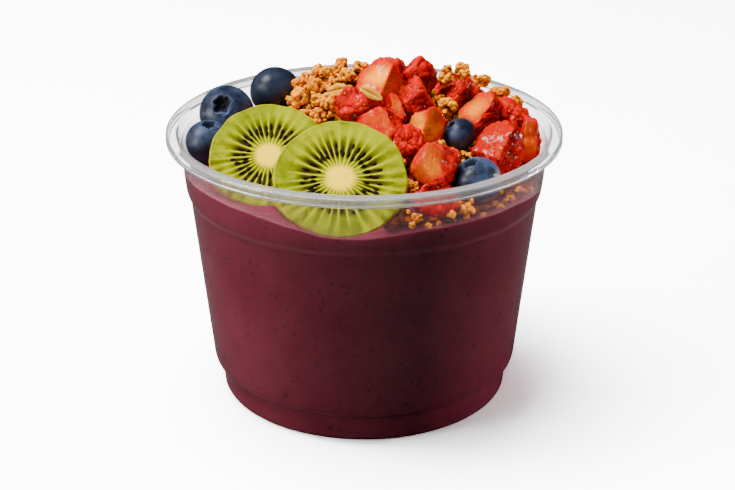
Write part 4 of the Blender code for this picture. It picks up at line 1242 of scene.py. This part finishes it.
        small = self.crumb * draw.uniform(0.4, 0.95, len(second))
        places = points[second] - normals[second] * (0.9 * MM) + draw.normal(0, 0.5 * MM, (len(second), 3))
        fits = self.free(places, 0.3 * MM) & self.within_cup(places, small)
        fits &= ~self.by_front_wall(places) | (draw.random(len(places)) < 0.15)
        places, small = places[fits], small[fits]
        kinds = self.lump_kinds(7, 10, 6, 0.55, 5, 400)
        tone = draw.uniform(0, 0.7, len(small))
        mesh, faces, values = self.scattered(kinds, places, small[:, None] * draw.uniform(0.7, 1.2, (len(small), 3)), tone, draw)
        mesh_piece("granola_crumbs", mesh, faces, finish, values=values)
        flat = draw.choice(len(first), len(first) // 9, replace=False)
        spot = points[first][flat] + normals[first][flat] * 0.5 * MM
        clear = self.free(spot, 1.2 * MM) & self.within_cup(spot, np.full(len(spot), 2.4 * MM)) & (spot[:, 1] > 0.0)
        mesh, faces, values = self.flakes(spot[clear], normals[first][flat][clear], draw)
        large = self.large_flakes()
        mesh, faces = joined([(mesh, faces), large[:2]])
        values = {"tone": np.concatenate([values["tone"], large[2]])}
        mesh_piece("oat_flakes", mesh, faces, oat, values=values)

    def by_front_wall(self, points):
        """Whether points lie near the wall at the front right, where only a few bits are."""
        around = np.arctan2(points[:, 1], points[:, 0])
        return (around > -1.5) & (around < -0.15) & (np.hypot(points[:, 0], points[:, 1]) > 42 * MM)

    def settled(self, points):
        """Points of the bed with a notch in the heap's top, a rise beside it, and a hollow at the front right."""
        x, y, z = points.T
        heap = hump(17.5 * MM, 14 * MM, y)
        notch = 3.2 * MM * hump(-9.5 * MM, 3.6 * MM, x) * heap
        rise = 2.0 * MM * hump(1.5 * MM, 4.5 * MM, x) * heap
        around = np.arctan2(y, x)
        hollow = 1.0 * MM * hump(-0.85, 0.40, around) * smooth_step(36 * MM, 46 * MM, np.hypot(x, y))
        return np.stack([x, y, z - notch + rise - hollow], -1)

    def within_cup(self, places, size):
        """Whether crumbs stay clear of the cup's inside."""
        return np.hypot(places[:, 0], places[:, 1]) + size < wall_radius(np.minimum(places[:, 2], 80 * MM), 0.4 * MM)

    def lump(self, solid, name, finish, seed):
        """One knobbly lump that fills the cluster's own shape."""
        directions, triangles = ball_grid(34, 50)
        reach = self.lump_shape(directions, 26, 0.33, seed)
        reach = reach / np.quantile(reach, 0.97)
        points = solid.centre + directions * (reach * solid.reach(directions, 8.0))[:, None]
        draw = np.random.default_rng(seed)
        values = {"tone": np.full(len(points), draw.uniform(0.5, 0.8)), "high": smooth_step(0.55, 0.98, reach)}
        piece = mesh_piece(name + "_lump", points, triangles, finish, values=values)
        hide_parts(name)

    def crumb_finish(self, look):
        finish = Finish("granola_crumb_look")
        broad = finish.noise(420.0, 3.0, 0.6)
        fine = finish.noise(1500.0, 3.0, 0.65)
        mixed = finish.math("ADD", finish.math("MULTIPLY", finish.value("tone"), 0.5), finish.math("MULTIPLY", broad, 0.9))
        # Painted light: crumbs made paler on the high tops of their knobs
        mixed = finish.math("ADD", mixed, finish.math("MULTIPLY", finish.value("high"), 0.5))
        colour = finish.mix(finish.step(mixed, 0.55, 1.40), look.toast, look.pale)
        # Painted shade: much darker low between the knobs, where they fold in
        deep = finish.math("MULTIPLY", finish.step(finish.value("high"), 0.5, 0.0), 0.8)
        colour = finish.mix(deep, colour, tuple(0.12 * c for c in look.toast))
        colour = finish.mix(finish.math("MULTIPLY", finish.step(fine, 0.56, 0.70), 0.5), colour, tuple(0.5 * c for c in look.toast))
        # Painted shade: darker in the dips between the small cells of the bump
        knobs = finish.cells(880.0)
        colour = finish.mix(finish.math("MULTIPLY", finish.step(knobs, 0.42, 0.75), 0.45), colour, tuple(0.35 * c for c in look.toast))
        height = finish.math("SUBTRACT", finish.math("MULTIPLY", broad, 0.6), finish.math("MULTIPLY", knobs, 0.6))
        return finish.set(Base_Color=colour, Roughness=0.5, Specular_IOR_Level=0.0, Subsurface_Weight=0.15,
            Subsurface_Radius=(1.0, 0.5, 0.1), Subsurface_Scale=0.8 * MM, Normal=finish.relief(height, 0.9 * MM, 1.0))

    def oat_finish(self, look):
        finish = Finish("oat_flake_look")
        fibre = finish.noise(1.0, 3.0, 0.6, place=finish.stretched((300.0, 900.0, 600.0)))
        colour = finish.mix(finish.step(fibre, 0.35, 0.7), tuple(0.60 * c for c in look.pale), (0.82, 0.43, 0.050))
        return finish.set(Base_Color=colour, Roughness=0.5, Specular_IOR_Level=0.3, Normal=finish.relief(fibre, 0.4 * MM, 0.8))

    def shaded_core_finish(self, look):
        finish = Finish("granola_shaded_core_look")
        cells = finish.cells(420.0)
        # Painted shade: the core under the crumbs is made far darker than toasted crumb, standing for the shade in the
        # gaps of the heap
        colour = finish.mix(finish.step(cells, 0.1, 0.6), tuple(0.40 * c for c in look.toast), tuple(0.08 * c for c in look.toast))
        return finish.set(Base_Color=colour, Roughness=0.8, Specular_IOR_Level=0.1, Normal=finish.relief(cells, 1.0 * MM, 0.8))


def welded(points, triangles, distance=1e-6):
    """Points that lie on one another as one, with the triangles renumbered."""
    keys = np.round(points / distance).astype(np.int64)
    _, first, back = np.unique(keys, axis=0, return_index=True, return_inverse=True)
    return points[first], back.reshape(-1)[triangles]


def point_normals(points, triangles):
    """Sum of the face normals, weighted by area, at each point."""
    a, b, c = (points[triangles[:, k]] for k in range(3))
    cross = np.cross(b - a, c - a)
    normals = np.zeros_like(points)
    for k in range(3):
        np.add.at(normals, triangles[:, k], cross)
    return unit(normals)


class ACAI_OT_stage(bpy.types.Operator):
    """Set the pale floor, the soft lamps and the camera"""

    bl_idname = "acai.stage"
    bl_label = "Stage"

    def execute(self, context):
        look = context.scene.acai_stage
        self.floor(look)
        self.lamps(look)
        self.camera(look, context.scene)
        return {"FINISHED"}

    def floor(self, look):
        """A flat sheet that curves up into a backdrop: one profile carried along X."""
        bend = np.linspace(0.0, math.pi / 2, 25)
        y = np.concatenate([[-3.0], 2.0 + 1.0 * np.sin(bend), [3.0]])
        z = np.concatenate([[0.0], 1.0 - np.cos(bend), [4.0]])
        x = np.array([-5.0, 5.0])
        points = np.stack([
            np.repeat(x[None, :], len(y), 0), np.repeat(y[:, None], 2, 1), np.repeat(z[:, None], 2, 1)], -1).reshape(-1, 3)
        triangles = grid_triangles(len(y), 2, closed=False)
        mesh = bpy.data.meshes.new("studio_floor")
        mesh.from_pydata([tuple(p) for p in points], [], [tuple(int(i) for i in t) for t in triangles])
        mesh.shade_smooth()
        mesh.materials.append(self.floor_finish(look))
        floor = bpy.data.objects.new("studio_floor", mesh)
        bpy.context.scene.collection.objects.link(floor)

    def floor_finish(self, look):
        """Near white to the eye, and dim in reflections, so that the dark cup keeps its depth."""
        finish = Finish("studio_floor_look")
        tone = finish.noise(3.0)
        seen = finish.node("ShaderNodeBsdfDiffuse")
        white = tuple(c * look.glow for c in look.floor)
        finish.feed(seen.inputs["Color"], finish.mix(tone, white, tuple(0.99 * c for c in white)))
        dim = finish.set(
            Base_Color=finish.mix(tone, (0.10, 0.10, 0.10), (0.11, 0.11, 0.11)), Roughness=0.9, Specular_IOR_Level=0.0)
        rays = finish.node("ShaderNodeLightPath")
        fainter = finish.mix(rays.outputs["Is Glossy Ray"], finish.mix(tone, (0.10, 0.10, 0.10), (0.11, 0.11, 0.11)), (0.05, 0.05, 0.05))
        finish.set(Base_Color=fainter)
        bounced = finish.math("ADD", rays.outputs["Diffuse Depth"], rays.outputs["Glossy Depth"])
        straight = finish.math("LESS_THAN", bounced, 0.5)
        through = finish.math("MULTIPLY", finish.math("MULTIPLY", rays.outputs["Is Transmission Ray"], straight), 0.5)
        mixed = finish.node("ShaderNodeMixShader")
        finish.feed(mixed.inputs[0], finish.math("ADD", rays.outputs["Is Camera Ray"], through, clamp=True))
        finish.feed(mixed.inputs[1], finish.shader.outputs["BSDF"])
        finish.feed(mixed.inputs[2], seen.outputs[0])
        finish.feed(finish.output.inputs["Surface"], mixed.outputs[0])
        return dim

    def lamps(self, look):
        world = bpy.data.worlds.new("studio_air")
        world.use_nodes = True
        world.node_tree.nodes["Background"].inputs["Color"].default_value = (1.0, 1.0, 1.0, 1.0)
        world.node_tree.nodes["Background"].inputs["Strength"].default_value = 0.05
        bpy.context.scene.world = world
        for name, place, size, power in (
            ("dome_lamp", (-0.24, 0.10, 1.1), 0.66, look.dome),
            ("key_lamp", (-0.62, 0.02, 0.86), 0.32, look.key),
            ("side_lamp", (-0.80, -0.30, 0.26), 0.40, look.side),
            ("rim_lamp", (0.78, 0.20, 0.07), 0.14, look.rim),
            ("fill_lamp", (0.42, -0.80, 0.30), 0.50, look.fill),
        ):
            lamp = bpy.data.lights.new(name, "AREA")
            lamp.shape = "SQUARE"
            lamp.size = size
            lamp.energy = power
            thing = bpy.data.objects.new(name, lamp)
            thing.location = place
            thing.rotation_euler = (Vector((0, 0, 0.05)) - Vector(place)).to_track_quat("-Z", "Y").to_euler()
            thing.visible_glossy = name not in ("dome_lamp", "fill_lamp")
            bpy.context.scene.collection.objects.link(thing)

    def camera(self, look, scene):
        camera = bpy.data.cameras.new("front_camera")
        camera.lens = look.lens
        camera.sensor_width = 36.0
        camera.shift_x = 0.0045
        camera.shift_y = 0.0167
        thing = bpy.data.objects.new("front_camera", camera)
        reach = look.distance
        thing.location = (0.0, -reach * math.cos(look.elevation), 0.040 + reach * math.sin(look.elevation))
        thing.rotation_euler = (math.pi / 2 - look.elevation, 0.0, 0.0)
        scene.collection.objects.link(thing)
        scene.camera = thing


PIECES = (ACAI_OT_cup, ACAI_OT_puree, ACAI_OT_kiwi, ACAI_OT_blueberries, ACAI_OT_strawberries,
          ACAI_OT_granola, ACAI_OT_stage)
SETTINGS = {
    "acai_cup": AcaiCupSettings,
    "acai_puree": AcaiPureeSettings,
    "acai_kiwi": AcaiKiwiSettings,
    "acai_blueberry": AcaiBlueberrySettings,
    "acai_strawberry": AcaiStrawberrySettings,
    "acai_granola": AcaiGranolaSettings,
    "acai_stage": AcaiStageSettings,
}


class ACAI_PT_panel(bpy.types.Panel):
    """Lists the pieces and their settings"""

    bl_label = "Acai bowl"
    bl_idname = "ACAI_PT_panel"
    bl_space_type = "VIEW_3D"
    bl_region_type = "UI"
    bl_category = "Acai bowl"

    def draw(self, context):
        for piece, (key, group) in zip(PIECES, SETTINGS.items()):
            box = self.layout.box()
            box.operator(piece.bl_idname)
            for name in group.__annotations__:
                box.prop(getattr(context.scene, key), name)


CLASSES = (*SETTINGS.values(), *PIECES, ACAI_PT_panel)


def register():
    for kind in CLASSES:
        bpy.utils.register_class(kind)
    for key, group in SETTINGS.items():
        setattr(bpy.types.Scene, key, PointerProperty(type=group))


def unregister():
    for key in SETTINGS:
        delattr(bpy.types.Scene, key)
    for kind in reversed(CLASSES):
        bpy.utils.unregister_class(kind)


def main():
    register()
    for piece in PIECES:
        group, action = piece.bl_idname.split(".")
        getattr(getattr(bpy.ops, group), action)()


if __name__ == "__main__":
    main()
